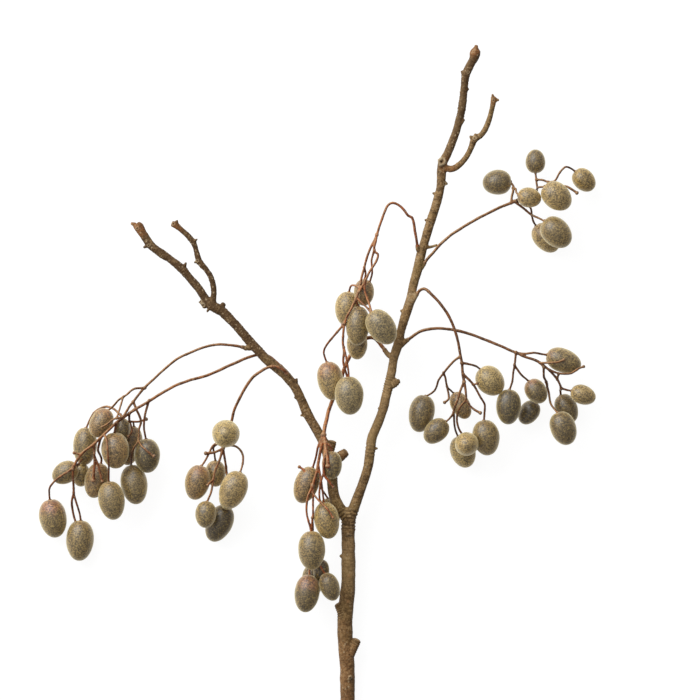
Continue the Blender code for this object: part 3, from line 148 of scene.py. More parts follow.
# The sprays. "foot" is the run out of the wood: the wood's own collar holds its first part, and the first
# stalk goes on from the middle of its last stretch. "collar" is the collar's radius at its root and at its
# end, and "warmth" is how orange the stalks are. A fruit is (X, Y, Z, length, width, tilt, pitch, tone,
# flush), with X, Y, Z its middle. Tilt turns its tip from -Y towards +X, and pitch lifts its tip off the
# surface, both in degrees. Flush is how far its stalk end is red-brown. A stalk is (radius at its start,
# radius at its end, points, fruit number or None for a bare end), and the first one's follow the foot's.
SPRAYS = {
    "spray_upper_left": {
        "foot": [(-70.0, 121.0, 27.0), (-75.5, 119.8, 27.8), (-84.0, 121.7, 29.3)],
        "collar": (2.4, 1.2),
        "warmth": 0.15,
        "fruits": {
            1: (-160.7, 17.4, 18.0, 30.0, 20.0, 9, 6, "olive", 0.20),
            2: (-185.3, 63.8, 28.0, 23.3, 16.9, -28, 10, "brown", 0.60),
        },
        "stalks": [
            (1.0, 0.9, [(-94.0, 122.6, 30.0), (-104.0, 121.7, 30.0), (-116.4, 117.3, 30.0),
                        (-128.9, 111.3, 30.0), (-138.8, 103.0, 30.0), (-146.3, 96.2, 30.0),
                        (-153.0, 89.8, 30.0), (-158.6, 83.0, 30.0), (-161.3, 79.1, 30.0)], None),
            (0.9, 0.7, [(-152.5, 90.0, 30.0), (-157.1, 89.9, 31.0), (-160.0, 89.6, 31.5),
                        (-162.9, 87.8, 32.0), (-165.8, 85.0, 33.0), (-168.9, 83.0, 33.5),
                        (-172.0, 81.0, 33.0), (-174.8, 77.7, 31.0)], 2),
            (0.7, 0.7, [(-168.5, 83.3, 33.5), (-170.0, 77.7, 36.0), (-171.8, 71.5, 40.2),
                        (-173.0, 68.1, 41.4), (-176.3, 66.2, 41.6), (-180.0, 63.3, 40.8),
                        (-184.0, 60.9, 39.2)], None),
            (0.9, 0.8, [(-161.0, 79.6, 30.0), (-163.9, 75.8, 35.0), (-166.2, 71.8, 40.2),
                        (-168.8, 68.2, 41.2), (-173.0, 67.6, 41.4)], None),
            (0.9, 0.7, [(-160.9, 79.4, 30.0), (-158.1, 72.9, 31.0), (-156.2, 69.0, 30.0),
                        (-155.3, 64.0, 28.8), (-156.7, 59.5, 28.5), (-157.1, 50.6, 29.6),
                        (-160.2, 45.8, 30.0), (-162.6, 39.2, 27.0)], 1),
            (0.7, 0.9, [(-157.1, 51.0, 29.6), (-155.0, 47.0, 33.8), (-150.3, 42.7, 36.8),
                        (-145.4, 39.0, 36.6)], None),
        ],
    },
    "spray_lower_left": {
        "foot": [(-45.5, 100.5, 25.4), (-48.2, 103.9, 22.4), (-53.6, 109.2, 20.2)],
        "collar": (2.0, 1.2),
        "warmth": 0.45,
        "fruits": {
            1: (-222.0, -8.2, 10.0, 29.3, 20.6, 10, 0, "olive", 0.85),
            2: (-201.8, -24.8, 10.0, 30.8, 20.8, -3, 0, "olive", 0.25),
            3: (-177.2, 5.7, 30.5, 29.3, 19.7, 9, 5, "olive", 0.30),
            4: (-150.8, 39.2, 24.5, 25.9, 19.5, 3, -5, "black", 0.15),
            5: (-174.5, 43.2, 31.0, 27.2, 20.8, 3, 4, "brown", 0.10),
            6: (-198.0, 46.1, 10.5, 28.5, 18.0, -3, 0, "olive", 0.15),
            7: (-212.5, 26.3, 18.5, 21.0, 16.4, -60, 0, "olive", 0.35),
            8: (-201.2, 24.6, 7.0, 18.0, 13.6, 0, 0, "pale", 0.10),
            9: (-189.0, 20.5, 17.0, 27.0, 18.0, -15, 0, "brown", 0.45),
            10: (-169.5, 58.5, 20.0, 18.0, 12.0, 0, 0, "dark", 0.10),
            11: (-163.9, 46.5, 8.3, 30.0, 17.0, -12, 0, "brown", 0.10),
        },
        "stalks": [
            (1.1, 1.0, [(-59.0, 113.4, 19.8), (-65.0, 115.2, 20.0), (-70.0, 114.4, 20.8),
                        (-81.0, 110.5, 22.5), (-90.0, 106.5, 24.0), (-106.5, 99.2, 27.0),
                        (-118.5, 95.9, 29.0), (-126.5, 93.0, 30.5), (-134.7, 88.9, 32.0),
                        (-143.3, 84.0, 33.3), (-149.0, 80.0, 34.5), (-158.1, 74.8, 36.3),
                        (-166.7, 69.0, 37.5), (-171.0, 66.0, 38.0), (-178.4, 59.6, 38.8),
                        (-185.6, 52.2, 38.0), (-190.5, 47.8, 36.0), (-196.2, 43.7, 33.5),
                        (-200.3, 40.0, 32.0), (-203.6, 35.3, 31.0), (-206.4, 29.5, 30.0)], None),
            (0.9, 0.7, [(-206.0, 30.0, 30.0), (-211.7, 26.3, 29.6), (-217.4, 22.5, 27.0),
                        (-222.2, 18.0, 22.0), (-224.8, 13.2, 15.5)], 1),
            (0.9, 0.8, [(-206.2, 30.5, 30.0), (-206.3, 23.0, 28.0), (-206.0, 10.7, 22.0),
                        (-207.6, 4.8, 18.0), (-206.8, -4.0, 13.0), (-204.6, -12.5, 10.5)], None),
            (0.8, 0.7, [(-206.0, 11.2, 22.2), (-204.0, 3.5, 19.0), (-201.8, -4.5, 14.0)], 2),
            (0.8, 0.8, [(-200.0, 40.3, 32.0), (-205.4, 41.4, 31.5)], None),
            (0.8, 0.7, [(-182.5, 55.3, 38.4), (-181.0, 52.0, 41.0), (-180.0, 47.5, 43.0),
                        (-179.6, 39.2, 43.4), (-178.9, 31.5, 39.5), (-179.3, 24.5, 34.0)], 3),
            (0.9, 0.7, [(-149.0, 80.5, 34.5), (-151.5, 72.5, 33.2), (-152.6, 66.8, 32.0),
                        (-152.9, 59.0, 29.0)], 4),
            (0.9, 0.8, [(-173.2, 64.0, 38.2), (-174.3, 60.0, 36.0)], 5),
            (0.9, 0.7, [(-168.5, 67.8, 37.4), (-174.0, 73.0, 27.0), (-181.5, 76.0, 17.5),
                        (-189.8, 72.5, 15.0), (-194.0, 66.5, 13.0)], 6),
            (0.9, 0.7, [(-205.2, 32.0, 30.5), (-201.8, 33.0, 25.0)], 7),
            (0.7, 0.7, [(-202.0, 33.2, 25.5), (-199.6, 36.5, 14.0)], 8),
            (0.9, 0.7, [(-185.2, 52.5, 37.8), (-187.4, 43.0, 27.0), (-185.2, 37.0, 19.5)], 9),
            (0.9, 0.7, [(-169.2, 67.5, 37.4), (-170.4, 70.5, 29.0)], 10),
            (0.9, 0.7, [(-163.7, 71.0, 37.0), (-163.9, 65.0, 26.0), (-161.6, 64.5, 16.0)], 11),
            (0.7, 0.9, [(-164.0, 65.0, 26.0), (-157.2, 64.8, 24.6), (-151.4, 66.6, 23.6)], None),
            (0.7, 0.7, [(-163.9, 65.3, 26.5), (-162.1, 57.9, 25.0), (-164.9, 53.3, 23.6)], None),
            (0.8, 0.8, [(-190.3, 48.0, 36.2), (-189.8, 39.2, 33.0), (-187.5, 32.5, 31.0),
                        (-184.2, 20.0, 30.0)], None),
            (0.7, 1.2, [(-190.0, 41.0, 34.0), (-190.0, 33.0, 31.6), (-191.0, 20.8, 29.0)], None),
        ],
    },
    "spray_left_centre": {
        "foot": [(-41.8, 94.8, 25.6), (-44.6, 99.2, 30.2), (-48.0, 103.2, 32.2)],
        "collar": (2.0, 1.2),
        "warmth": 0.35,
        "fruits": {
            1: (-91.5, 55.7, 35.0, 26.0, 20.6, 0, 82, "pale", 0.05),
            2: (-113.3, 19.0, 17.0, 26.6, 18.8, -13, 0, "brown", 0.55),
            3: (-99.8, 25.5, 7.4, 20.0, 15.2, 0, 0, "light", 0.40),
            4: (-86.0, 13.7, 33.0, 29.5, 20.3, -22, 4, "light", 0.10),
            5: (-106.7, -4.9, 26.0, 20.3, 15.8, -3, 10, "olive", 0.25),
            6: (-96.9, -12.0, 9.6, 29.3, 19.6, -25, 0, "black", 0.10),
            7: (-90.2, 6.8, 18.4, 17.0, 13.6, 0, 0, "pale", 0.00),
        },
        "stalks": [
            (1.1, 1.0, [(-51.8, 105.2, 32.6), (-55.9, 106.2, 32.4), (-60.8, 105.2, 31.4),
                        (-65.6, 102.3, 30.0), (-71.3, 98.3, 28.3), (-76.2, 91.7, 26.6), (-80.3, 84.5, 25.0),
                        (-83.5, 78.0, 23.4), (-86.3, 70.7, 21.2), (-87.8, 64.0, 19.2), (-90.5, 55.0, 18.0),
                        (-94.1, 44.3, 18.4)], None),
            (0.9, 0.8, [(-90.3, 55.6, 18.2), (-91.2, 56.8, 20.6)], 1),
            (0.9, 1.0, [(-93.8, 44.6, 18.4), (-100.6, 41.5, 19.0), (-107.0, 40.9, 19.5)], None),
            (1.0, 0.7, [(-94.0, 44.6, 18.4), (-96.9, 34.7, 20.5), (-100.1, 27.4, 21.5),
                        (-101.6, 19.2, 23.0), (-102.9, 11.0, 25.0)], 5),
            (0.7, 0.8, [(-101.2, 21.5, 22.5), (-105.3, 17.0, 26.0)], None),
            (0.9, 0.7, [(-93.8, 44.4, 18.4), (-92.0, 32.9, 16.5), (-91.0, 24.0, 12.0), (-89.4, 13.0, 7.6),
                        (-89.6, 6.0, 7.2)], 6),
            (0.7, 0.7, [(-91.4, 26.5, 13.5), (-90.4, 19.0, 16.4)], 7),
            (0.9, 0.7, [(-92.8, 47.5, 18.4), (-99.8, 48.0, 18.5), (-102.3, 45.4, 18.5),
                        (-104.9, 40.1, 18.0), (-107.8, 34.8, 17.4)], 2),
            (0.8, 0.7, [(-99.0, 47.6, 18.4), (-101.2, 45.0, 16.6), (-100.4, 40.1, 13.4)], 3),
            (0.9, 0.7, [(-93.4, 46.0, 18.4), (-88.6, 46.8, 19.4), (-84.4, 46.0, 21.6), (-81.0, 43.3, 24.4),
                        (-78.8, 39.2, 27.2), (-79.0, 33.4, 30.6)], 4),
        ],
    },
    "spray_upper_centre": {
        "foot": [(55.0, 190.0, 29.0), (52.2, 194.2, 31.6), (51.6, 199.5, 34.0)],
        "collar": (2.0, 1.2),
        "warmth": 0.75,
        "fruits": {
            1: (12.0, 161.6, 30.0, 20.0, 15.0, 0, 0, "brown", 0.50),
            2: (-0.4, 149.6, 21.8, 25.9, 18.8, -5, 0, "light", 0.10),
            3: (7.3, 136.7, 37.0, 29.6, 17.8, -3, 5, "olive", 0.25),
            4: (25.1, 135.6, 47.0, 28.5, 20.6, 35, 0, "grey", 0.05),
            5: (6.8, 122.3, 22.5, 21.8, 15.4, 0, 0, "light", 0.10),
            6: (-13.1, 95.4, 24.0, 29.3, 19.5, 11, 0, "light", 0.80),
            7: (0.9, 84.4, 36.6, 28.9, 21.6, 5, 6, "grey", 0.10),
        },
        "stalks": [
            (1.0, 0.9, [(50.0, 208.0, 35.4), (47.9, 217.5, 36.0), (44.9, 219.0, 36.0), (42.5, 222.5, 36.0),
                        (38.0, 227.0, 36.0), (33.4, 228.8, 36.0), (30.0, 227.0, 36.0), (27.8, 222.8, 36.0),
                        (25.5, 216.8, 36.0), (23.5, 210.8, 36.0), (21.5, 204.5, 36.0)], None),
            (0.9, 0.9, [(21.7, 205.0, 36.0), (17.5, 196.0, 36.0), (14.5, 188.5, 36.0), (12.2, 180.0, 36.0),
                        (9.6, 170.0, 37.4), (8.0, 162.8, 39.2), (6.3, 157.7, 41.0), (2.7, 149.8, 42.0),
                        (-0.5, 144.0, 41.2), (-2.7, 138.3, 40.0)], None),
            (0.8, 0.7, [(12.2, 180.5, 36.0), (13.2, 175.5, 34.0)], 1),
            (0.9, 0.8, [(21.5, 204.9, 36.0), (20.7, 199.5, 37.0), (19.5, 192.5, 37.0), (22.2, 190.6, 37.6),
                        (20.5, 184.0, 38.4), (15.5, 176.0, 39.4), (12.0, 168.5, 39.6),
                        (8.0, 161.8, 39.8)], None),
            (0.8, 0.7, [(19.7, 193.0, 37.0), (17.5, 185.5, 36.0), (18.2, 176.0, 34.0),
                        (15.6, 167.5, 31.5)], None),
            (0.8, 0.8, [(13.4, 171.2, 39.5), (12.4, 164.3, 39.8), (14.3, 158.0, 41.0),
                        (16.2, 152.6, 43.6)], 4),
            (0.8, 0.7, [(6.4, 158.0, 41.0), (10.5, 153.6, 43.0), (14.4, 149.9, 45.0),
                        (17.4, 145.5, 46.6)], None),
            (0.8, 0.7, [(5.8, 156.2, 41.2), (6.8, 153.6, 40.0)], 3),
            (0.9, 0.7, [(-2.4, 139.0, 40.0), (-6.8, 133.3, 38.0), (-12.4, 126.8, 34.0),
                        (-16.7, 121.1, 30.0), (-18.2, 116.5, 27.0)], 6),
            (0.9, 0.8, [(-2.6, 138.8, 40.0), (-3.5, 132.0, 40.0), (-3.7, 124.0, 39.5), (-3.1, 117.5, 39.0),
                        (-3.7, 109.7, 38.2), (-1.9, 102.5, 37.4)], 7),
            (0.8, 0.7, [(-3.2, 120.5, 39.4), (-1.2, 112.0, 40.4), (0.2, 104.0, 39.6),
                        (0.6, 96.5, 38.0)], None),
            (0.8, 0.7, [(-2.6, 138.6, 39.6), (-4.4, 137.2, 31.0), (0.6, 136.4, 24.4)], 5),
            (0.8, 0.7, [(8.6, 165.0, 38.8), (4.4, 167.0, 30.0), (2.0, 166.0, 24.5)], 2),
        ],
    },
    "spray_lower_centre": {
        "foot": [(34.6, 112.6, 26.5), (29.8, 115.4, 23.4), (25.0, 122.0, 18.6)],
        "collar": (2.6, 1.5),
        "warmth": 0.95,
        "fruits": {
            1: (-31.3, 17.3, 26.0, 28.5, 18.2, -20, 0, "brown", 0.15),
            2: (-12.0, 32.3, 36.4, 21.0, 15.0, 0, 5, "dark", 0.25),
            3: (-15.9, -9.2, 32.6, 27.8, 18.8, 10, 6, "gold", 0.15),
            4: (-27.2, -31.5, 35.0, 29.3, 20.3, 0, 6, "olive", 0.30),
            5: (-30.8, -64.1, 27.0, 28.5, 18.8, -8, 5, "dark", 0.80),
            6: (-13.7, -59.0, 29.5, 21.8, 14.6, 20, 0, "dark", 0.20),
            7: (-26.4, -54.8, 8.0, 24.0, 16.6, 0, 0, "dark", 0.10),
            8: (-20.2, -47.6, 19.8, 18.0, 12.4, 0, 0, "dark", 0.20),
            9: (-14.6, -5.4, 8.7, 25.0, 18.0, 0, 0, "gold", 0.10),
        },
        "stalks": [
            (1.4, 1.4, [(19.0, 128.0, 14.0), (11.0, 126.0, 11.0), (5.0, 119.5, 9.8), (-1.1, 108.8, 9.4),
                        (-5.3, 97.5, 9.4), (-9.0, 87.0, 11.0), (-11.8, 80.6, 14.4), (-14.3, 73.7, 20.0),
                        (-15.9, 67.1, 26.0), (-17.3, 61.1, 31.0), (-18.2, 55.0, 34.0)], None),
            (1.0, 0.7, [(-18.2, 55.6, 34.0), (-20.9, 49.5, 34.0), (-22.7, 45.2, 33.4),
                        (-24.0, 38.0, 30.5)], 1),
            (1.2, 1.0, [(-18.2, 55.6, 33.8), (-19.4, 49.6, 34.4), (-20.5, 43.0, 34.4), (-22.0, 35.3, 34.4),
                        (-23.2, 28.1, 34.8), (-25.3, 21.0, 35.4), (-26.6, 16.5, 35.8)], None),
            (0.9, 0.7, [(-26.4, 17.2, 35.8), (-29.1, 11.6, 36.6), (-30.8, 5.5, 36.8), (-31.2, 0.8, 36.2),
                        (-30.8, -5.3, 35.6), (-28.6, -13.5, 35.0), (-27.6, -18.5, 35.4)], None),
            (0.8, 0.7, [(-26.6, 16.8, 35.8), (-26.3, 10.5, 36.0), (-26.1, -1.0, 35.6),
                        (-26.8, -9.5, 35.0)], 4),
            (0.7, 0.7, [(-26.4, 11.5, 36.0), (-21.4, 5.4, 39.6), (-15.2, -0.8, 43.4),
                        (-11.2, -6.9, 43.6)], None),
            (1.1, 0.8, [(-18.0, 55.2, 34.0), (-17.0, 48.4, 36.6), (-17.8, 38.5, 41.2), (-18.2, 30.8, 42.2),
                        (-17.8, 25.3, 41.6), (-14.8, 21.0, 41.6), (-11.0, 16.0, 41.0)], None),
            (1.2, 1.2, [(-17.0, 49.0, 36.4), (-15.8, 39.6, 42.6), (-15.0, 31.6, 44.8)], None),
            (0.8, 0.7, [(-16.8, 48.8, 36.6), (-13.4, 46.8, 37.2)], 2),
            (0.8, 0.7, [(-22.4, 33.4, 34.4), (-20.4, 22.0, 35.0), (-19.0, 12.0, 34.0)], 3),
            (0.8, 0.7, [(-18.0, 27.0, 41.0), (-20.2, 19.9, 38.5), (-21.4, 14.0, 36.6), (-21.0, 6.5, 35.0),
                        (-19.4, 0.5, 33.0)], None),
            (0.8, 0.7, [(-20.2, 19.0, 34.6), (-19.8, 14.5, 25.0), (-18.0, 11.5, 14.0)], 9),
            (0.9, 0.8, [(-26.6, -7.0, 35.0), (-26.6, -15.0, 26.0), (-27.0, -24.0, 22.4),
                        (-27.6, -36.0, 22.0), (-28.7, -44.5, 24.0)], 5),
            (0.8, 0.7, [(-27.2, -34.5, 22.2), (-23.6, -40.0, 26.2), (-20.6, -43.6, 29.0)], 6),
            (0.8, 0.7, [(-27.0, -27.0, 22.4), (-26.8, -37.0, 14.0)], 7),
            (0.8, 0.7, [(-27.2, -27.5, 22.4), (-22.4, -32.5, 21.0)], 8),
            (0.8, 0.9, [(-26.6, 15.0, 35.0), (-33.4, 28.8, 31.0), (-36.6, 30.9, 30.4)], None),
        ],
    },
    "spray_right_inner": {
        "foot": [(45.6, 151.4, 28.0), (50.2, 158.8, 30.0), (54.0, 163.2, 32.0)],
        "collar": (3.0, 1.5),
        "warmth": 0.15,
        "fruits": {
            1: (55.3, 70.7, 9.0, 28.5, 19.2, -12, 0, "dark", 0.10),
            2: (66.2, 57.5, 20.0, 21.8, 16.5, -45, 0, "dark", 0.05),
            3: (84.8, 76.8, 13.0, 22.1, 14.4, 28, 12, "brown", 0.40),
            4: (106.8, 95.3, 22.0, 24.0, 20.3, 40, 10, "pale", 0.05),
            5: (88.9, 48.0, 33.0, 22.0, 17.6, 0, 80, "light", 0.15),
            6: (103.7, 52.7, 20.0, 27.0, 20.3, 8, 0, "olive", 0.15),
            7: (86.6, 42.0, 8.8, 24.8, 18.8, 18, 0, "pale", 0.10),
        },
        "stalks": [
            (1.1, 1.0, [(57.2, 164.3, 33.0), (61.4, 161.5, 34.0), (67.0, 155.6, 34.5), (72.5, 148.7, 35.0),
                        (77.3, 140.3, 35.0), (80.0, 133.7, 34.5), (81.9, 127.1, 34.0), (83.8, 117.8, 33.0),
                        (85.3, 108.4, 32.0), (86.1, 100.1, 31.0), (87.0, 94.5, 30.5)], None),
            (0.9, 0.7, [(84.0, 113.5, 32.4), (79.1, 109.9, 30.0), (74.4, 104.8, 27.0), (71.6, 101.0, 25.0),
                        (67.9, 95.5, 20.5), (65.1, 88.0, 14.5)], 1),
            (0.8, 0.7, [(71.8, 101.4, 25.0), (73.1, 97.4, 24.0), (74.4, 90.8, 20.5),
                        (77.0, 88.4, 16.0)], 3),
            (0.7, 0.9, [(74.3, 91.2, 21.0), (75.4, 81.5, 22.4), (72.5, 79.1, 22.6)], None),
            (0.9, 0.7, [(85.4, 108.8, 32.0), (92.3, 107.4, 30.0), (96.4, 106.2, 25.0)], 4),
            (0.9, 0.7, [(86.3, 100.6, 31.0), (92.3, 94.5, 30.0), (95.0, 90.8, 29.0), (99.6, 82.5, 27.0),
                        (102.4, 77.7, 25.5), (102.4, 71.5, 22.4)], 6),
            (0.7, 0.8, [(93.6, 92.6, 29.6), (97.0, 93.4, 32.4)], None),
            (0.9, 0.7, [(86.8, 95.0, 30.4), (83.8, 86.3, 30.0), (81.9, 80.6, 29.0), (80.0, 75.0, 27.0),
                        (78.6, 70.3, 25.0), (75.8, 66.6, 21.8)], 2),
            (0.8, 0.7, [(79.3, 72.0, 25.6), (79.8, 63.8, 18.5), (81.0, 57.5, 12.5)], 7),
            (0.9, 0.7, [(87.0, 95.0, 30.4), (88.5, 81.5, 30.0), (84.8, 76.8, 28.5), (82.4, 72.2, 26.5),
                        (81.7, 65.6, 23.5), (83.8, 58.6, 21.4), (87.0, 53.4, 20.8)], 5),
            (0.7, 0.9, [(88.4, 82.0, 30.2), (91.2, 76.8, 30.6), (95.0, 73.5, 31.0),
                        (99.2, 71.3, 31.5)], None),
        ],
    },
    "spray_right_outer": {
        "foot": [(37.0, 120.0, 26.9), (42.6, 124.6, 27.4), (48.4, 128.6, 28.0)],
        "collar": (2.6, 1.4),
        "warmth": 0.15,
        "fruits": {
            1: (120.5, 75.9, 24.0, 26.6, 18.8, -2, 0, "black", 0.10),
            2: (136.3, 71.4, 7.2, 19.5, 15.0, -35, 0, "black", 0.10),
            3: (141.3, 87.5, 20.6, 19.9, 15.8, 35, 8, "dark", 0.70),
            4: (161.8, 110.5, 24.0, 27.4, 18.0, 70, 0, "olive", 0.35),
            5: (176.6, 84.8, 20.6, 19.5, 14.6, 70, 0, "light", 0.10),
            6: (164.6, 74.4, 8.0, 22.9, 16.6, 25, 0, "dark", 0.25),
            7: (161.6, 59.8, 26.0, 25.9, 19.5, 20, 0, "dark", 0.05),
        },
        "stalks": [
            (1.1, 1.0, [(53.9, 132.2, 28.5), (61.9, 134.4, 28.5), (69.9, 134.7, 28.0), (79.1, 133.5, 27.5),
                        (88.3, 131.6, 27.5), (99.8, 127.5, 27.5), (111.8, 122.7, 28.0),
                        (121.4, 118.5, 28.5), (126.3, 116.3, 29.0), (132.5, 113.6, 29.0),
                        (138.8, 111.4, 29.0), (144.4, 108.6, 29.0), (146.9, 105.8, 28.6)], None),
            (0.9, 0.7, [(126.0, 116.6, 29.0), (125.4, 111.8, 28.5), (124.8, 106.7, 28.0),
                        (123.8, 101.3, 27.0), (123.5, 95.0, 25.6)], 1),
            (0.8, 0.7, [(124.9, 107.2, 28.0), (129.5, 100.5, 25.4), (132.5, 97.6, 23.0)], 3),
            (0.9, 0.7, [(126.0, 116.4, 29.0), (132.5, 115.7, 29.2), (140.0, 116.4, 29.0),
                        (145.4, 115.4, 26.8)], 4),
            (0.9, 0.7, [(146.8, 106.2, 28.6), (147.2, 98.0, 21.0), (150.0, 92.0, 11.0),
                        (147.0, 85.0, 7.8)], 2),
            (0.8, 0.8, [(146.6, 106.2, 28.8), (150.0, 104.4, 29.2), (155.0, 101.8, 29.8),
                        (161.3, 100.6, 30.4), (167.4, 101.0, 31.0), (172.4, 104.3, 31.4),
                        (176.7, 106.1, 31.4)], None),
            (0.8, 0.8, [(144.0, 108.8, 29.0), (151.2, 108.9, 33.6), (157.5, 109.5, 35.0),
                        (161.8, 111.2, 35.2)], None),
            (0.9, 0.8, [(146.0, 107.4, 28.8), (151.2, 103.4, 26.5), (155.0, 99.3, 25.0),
                        (157.5, 96.0, 24.0), (160.2, 89.3, 22.0), (159.6, 88.6, 14.0)], 6),
            (0.8, 0.8, [(157.0, 96.6, 24.2), (157.9, 100.4, 27.0)], None),
            (0.8, 0.7, [(160.1, 89.8, 22.3), (164.0, 88.6, 21.6)], 5),
            (0.9, 0.7, [(149.0, 94.5, 15.0), (151.2, 86.0, 13.4), (152.4, 78.5, 19.0),
                        (155.2, 73.8, 23.6)], 7),
        ],
    },
    "spray_upper_right": {
        "foot": [(51.4, 176.4, 28.5), (55.6, 181.2, 29.4), (59.4, 186.6, 30.4)],
        "collar": (2.6, 1.4),
        "warmth": 0.15,
        "fruits": {
            1: (112.0, 244.5, 20.0, 21.8, 18.8, -85, 0, "dark", 0.00),
            2: (140.9, 260.3, 16.0, 18.0, 14.8, 180, 0, "dark", 0.05),
            3: (177.5, 246.3, 14.0, 19.5, 15.8, 45, 0, "gold", 0.05),
            4: (136.0, 232.8, 29.0, 18.0, 15.0, 80, 0, "light", 0.30),
            5: (156.3, 233.7, 33.4, 24.8, 19.9, 50, 0, "light", 0.05),
            6: (149.0, 202.8, 8.7, 24.8, 18.0, 40, 0, "light", 0.45),
            7: (156.2, 206.6, 29.0, 26.3, 20.8, 45, 0, "olive", 0.05),
        },
        "stalks": [
            (1.1, 1.0, [(63.6, 191.2, 31.0), (70.1, 198.4, 31.5), (78.0, 205.1, 32.0), (89.6, 212.6, 32.0),
                        (99.4, 218.3, 31.0), (108.4, 222.8, 30.0), (117.3, 226.8, 28.0),
                        (125.4, 230.0, 26.0)], None),
            (0.9, 0.8, [(122.4, 229.0, 26.6), (123.0, 234.5, 25.0), (124.2, 241.4, 22.4)], 1),
            (0.8, 0.7, [(124.0, 240.0, 22.8), (125.8, 239.6, 24.6), (126.2, 237.0, 27.4)], 4),
            (0.9, 0.7, [(124.8, 229.9, 26.0), (132.8, 224.0, 25.0), (137.6, 220.3, 25.0),
                        (142.4, 217.8, 27.0)], 7),
            (0.8, 0.7, [(125.0, 229.8, 25.6), (133.0, 228.5, 19.4), (137.6, 224.8, 18.2),
                        (138.2, 219.6, 15.6), (139.6, 215.2, 11.4)], 6),
            (0.9, 0.7, [(125.0, 230.2, 25.6), (131.5, 233.6, 19.4), (142.0, 238.2, 18.0),
                        (141.8, 243.5, 17.4)], 2),
            (0.8, 0.7, [(141.8, 246.5, 17.0), (146.6, 246.0, 19.6), (150.5, 244.6, 20.6),
                        (155.5, 245.5, 21.0), (158.0, 250.0, 21.0), (163.2, 256.1, 19.6),
                        (168.4, 254.6, 16.0)], 3),
            (0.8, 0.9, [(150.3, 244.7, 20.6), (158.0, 242.0, 20.4), (164.5, 241.3, 23.6),
                        (171.8, 236.3, 26.0)], None),
            (0.8, 0.7, [(141.6, 238.2, 18.0), (143.2, 240.6, 27.0)], 5),
        ],
    },
}

# Pale or dark marks on the bark that a leaf, a bud or a stalk left: (X, Y, radius, height of the rim,
# depth of the middle, paleness of the rim, darkness of the middle). They face up.
SCARS = [
    (70.2, 259.6, 2.6, 0.75, 1.30, 1.00, 1.0),
    (0.6, -20.4, 1.5, 0.18, 0.55, 0.30, 0.9),
    (1.6, -127.8, 1.5, 0.25, 0.20, 0.90, 0.3),
    (2.6, -129.4, 1.3, 0.00, 0.45, 0.00, 0.8),
    (-110.8, 155.0, 1.5, 0.15, 0.00, 0.95, 0.0),
    (-108.6, 152.0, 1.5, 0.15, 0.00, 0.95, 0.0),
    (-157.8, 209.6, 1.4, 0.15, 0.15, 0.50, 0.0),
    (-149.3, 196.9, 1.2, 0.20, 0.15, 0.50, 0.1),
    (-112.8, 185.2, 1.2, 0.25, 0.20, 0.70, 0.2),
    (-130.6, 212.8, 1.3, 0.30, 0.35, 0.50, 0.6),
    (72.6, 243.3, 1.3, 0.25, 0.20, 0.65, 0.2),
    (94.8, 277.2, 1.4, 0.25, 0.20, 0.70, 0.3),
    (94.2, 342.0, 1.3, 0.15, 0.00, 0.40, 0.0),
    (90.0, 326.6, 1.1, 0.20, 0.15, 0.45, 0.2),
    (108.9, 305.4, 1.1, 0.20, 0.25, 0.45, 0.6),
    (28.0, 92.6, 1.5, 0.20, 0.30, 0.20, 0.5),
    (35.6, 113.0, 1.4, 0.15, 0.15, 0.10, 0.2),
    (48.0, 158.0, 3.2, 0.20, 0.00, 0.40, 0.0),
    (46.8, 154.6, 2.6, 0.10, 0.00, 0.30, 0.0),
    (50.9, 186.3, 1.5, 0.20, 0.10, 0.60, 0.1),
    (61.8, 213.4, 1.0, 0.15, 0.10, 0.45, 0.1),
    (10.2, 30.4, 0.9, 0.15, 0.10, 0.60, 0.0),
    (13.8, 30.8, 0.8, 0.15, 0.10, 0.65, 0.0),
    (16.2, 47.8, 0.9, 0.15, 0.10, 0.50, 0.0),
]

# Stretches where the bark is gathered in rings, each a box (X low, X high, Y low, Y high), the rings'
# spacing and their height.
RINGED = [
    (-8.0, 8.0, -17.0, -1.0, 2.60, 0.29),
    (-13.0, -4.0, -84.0, -70.0, 1.75, 0.20),
    (2.5, 12.0, -110.0, -97.0, 1.65, 0.22),
    (25.0, 41.0, 86.0, 99.0, 1.90, 0.24),
    (13.0, 21.0, 39.0, 48.0, 2.40, 0.22),
    (-19.0, -8.0, 38.0, 53.0, 1.90, 0.14),
    (-9.0, 2.5, 34.0, 46.0, 1.70, 0.14),
]

# The cut faces of the stem and its stubs: a point before the face, and the end that is cut.
CUTS = [
    ((0.0, -170.0, 5.4), MAIN_STEM[0]),
    ((-6.6, -74.7, 15.6), STUBS[0][-1]),
    ((5.8, -101.7, 13.2), STUBS[1][-1]),
    ((-12.2, 47.6, 25.5), STUBS[2][-1]),
    ((-3.3, 40.5, 24.3), STUBS[3][-1]),
]

# Tones of the fruits' skin, as linear colours.
TONE_COLOURS = {
    "pale": (0.396, 0.270, 0.097),
    "light": (0.348, 0.227, 0.084),
    "gold": (0.300, 0.184, 0.051),
    "olive": (0.219, 0.140, 0.049),
    "brown": (0.258, 0.140, 0.051),
    "grey": (0.240, 0.173, 0.081),
    "dark": (0.127, 0.076, 0.025),
    "black": (0.055, 0.032, 0.011),
}

# Redder stretches of the bark: (X, Y, reach, amount).
WARM_PLACES = [
    (-159.0, 211.0, 12.0, 1.0),
    (-130.0, 212.5, 9.0, 0.9),
    (95.5, 344.5, 9.0, 1.0),
    (75.0, 256.5, 8.0, 0.8),
    (109.0, 306.5, 7.0, 0.6),
    (-3.0, 40.0, 8.0, 0.5),
    (-12.0, 48.0, 8.0, 0.5),
    (0.6, -51.0, 1.6, 0.8),
    (0.0, -70.5, 1.5, 0.6),
    (72.4, 256.0, 3.0, 0.9),
]

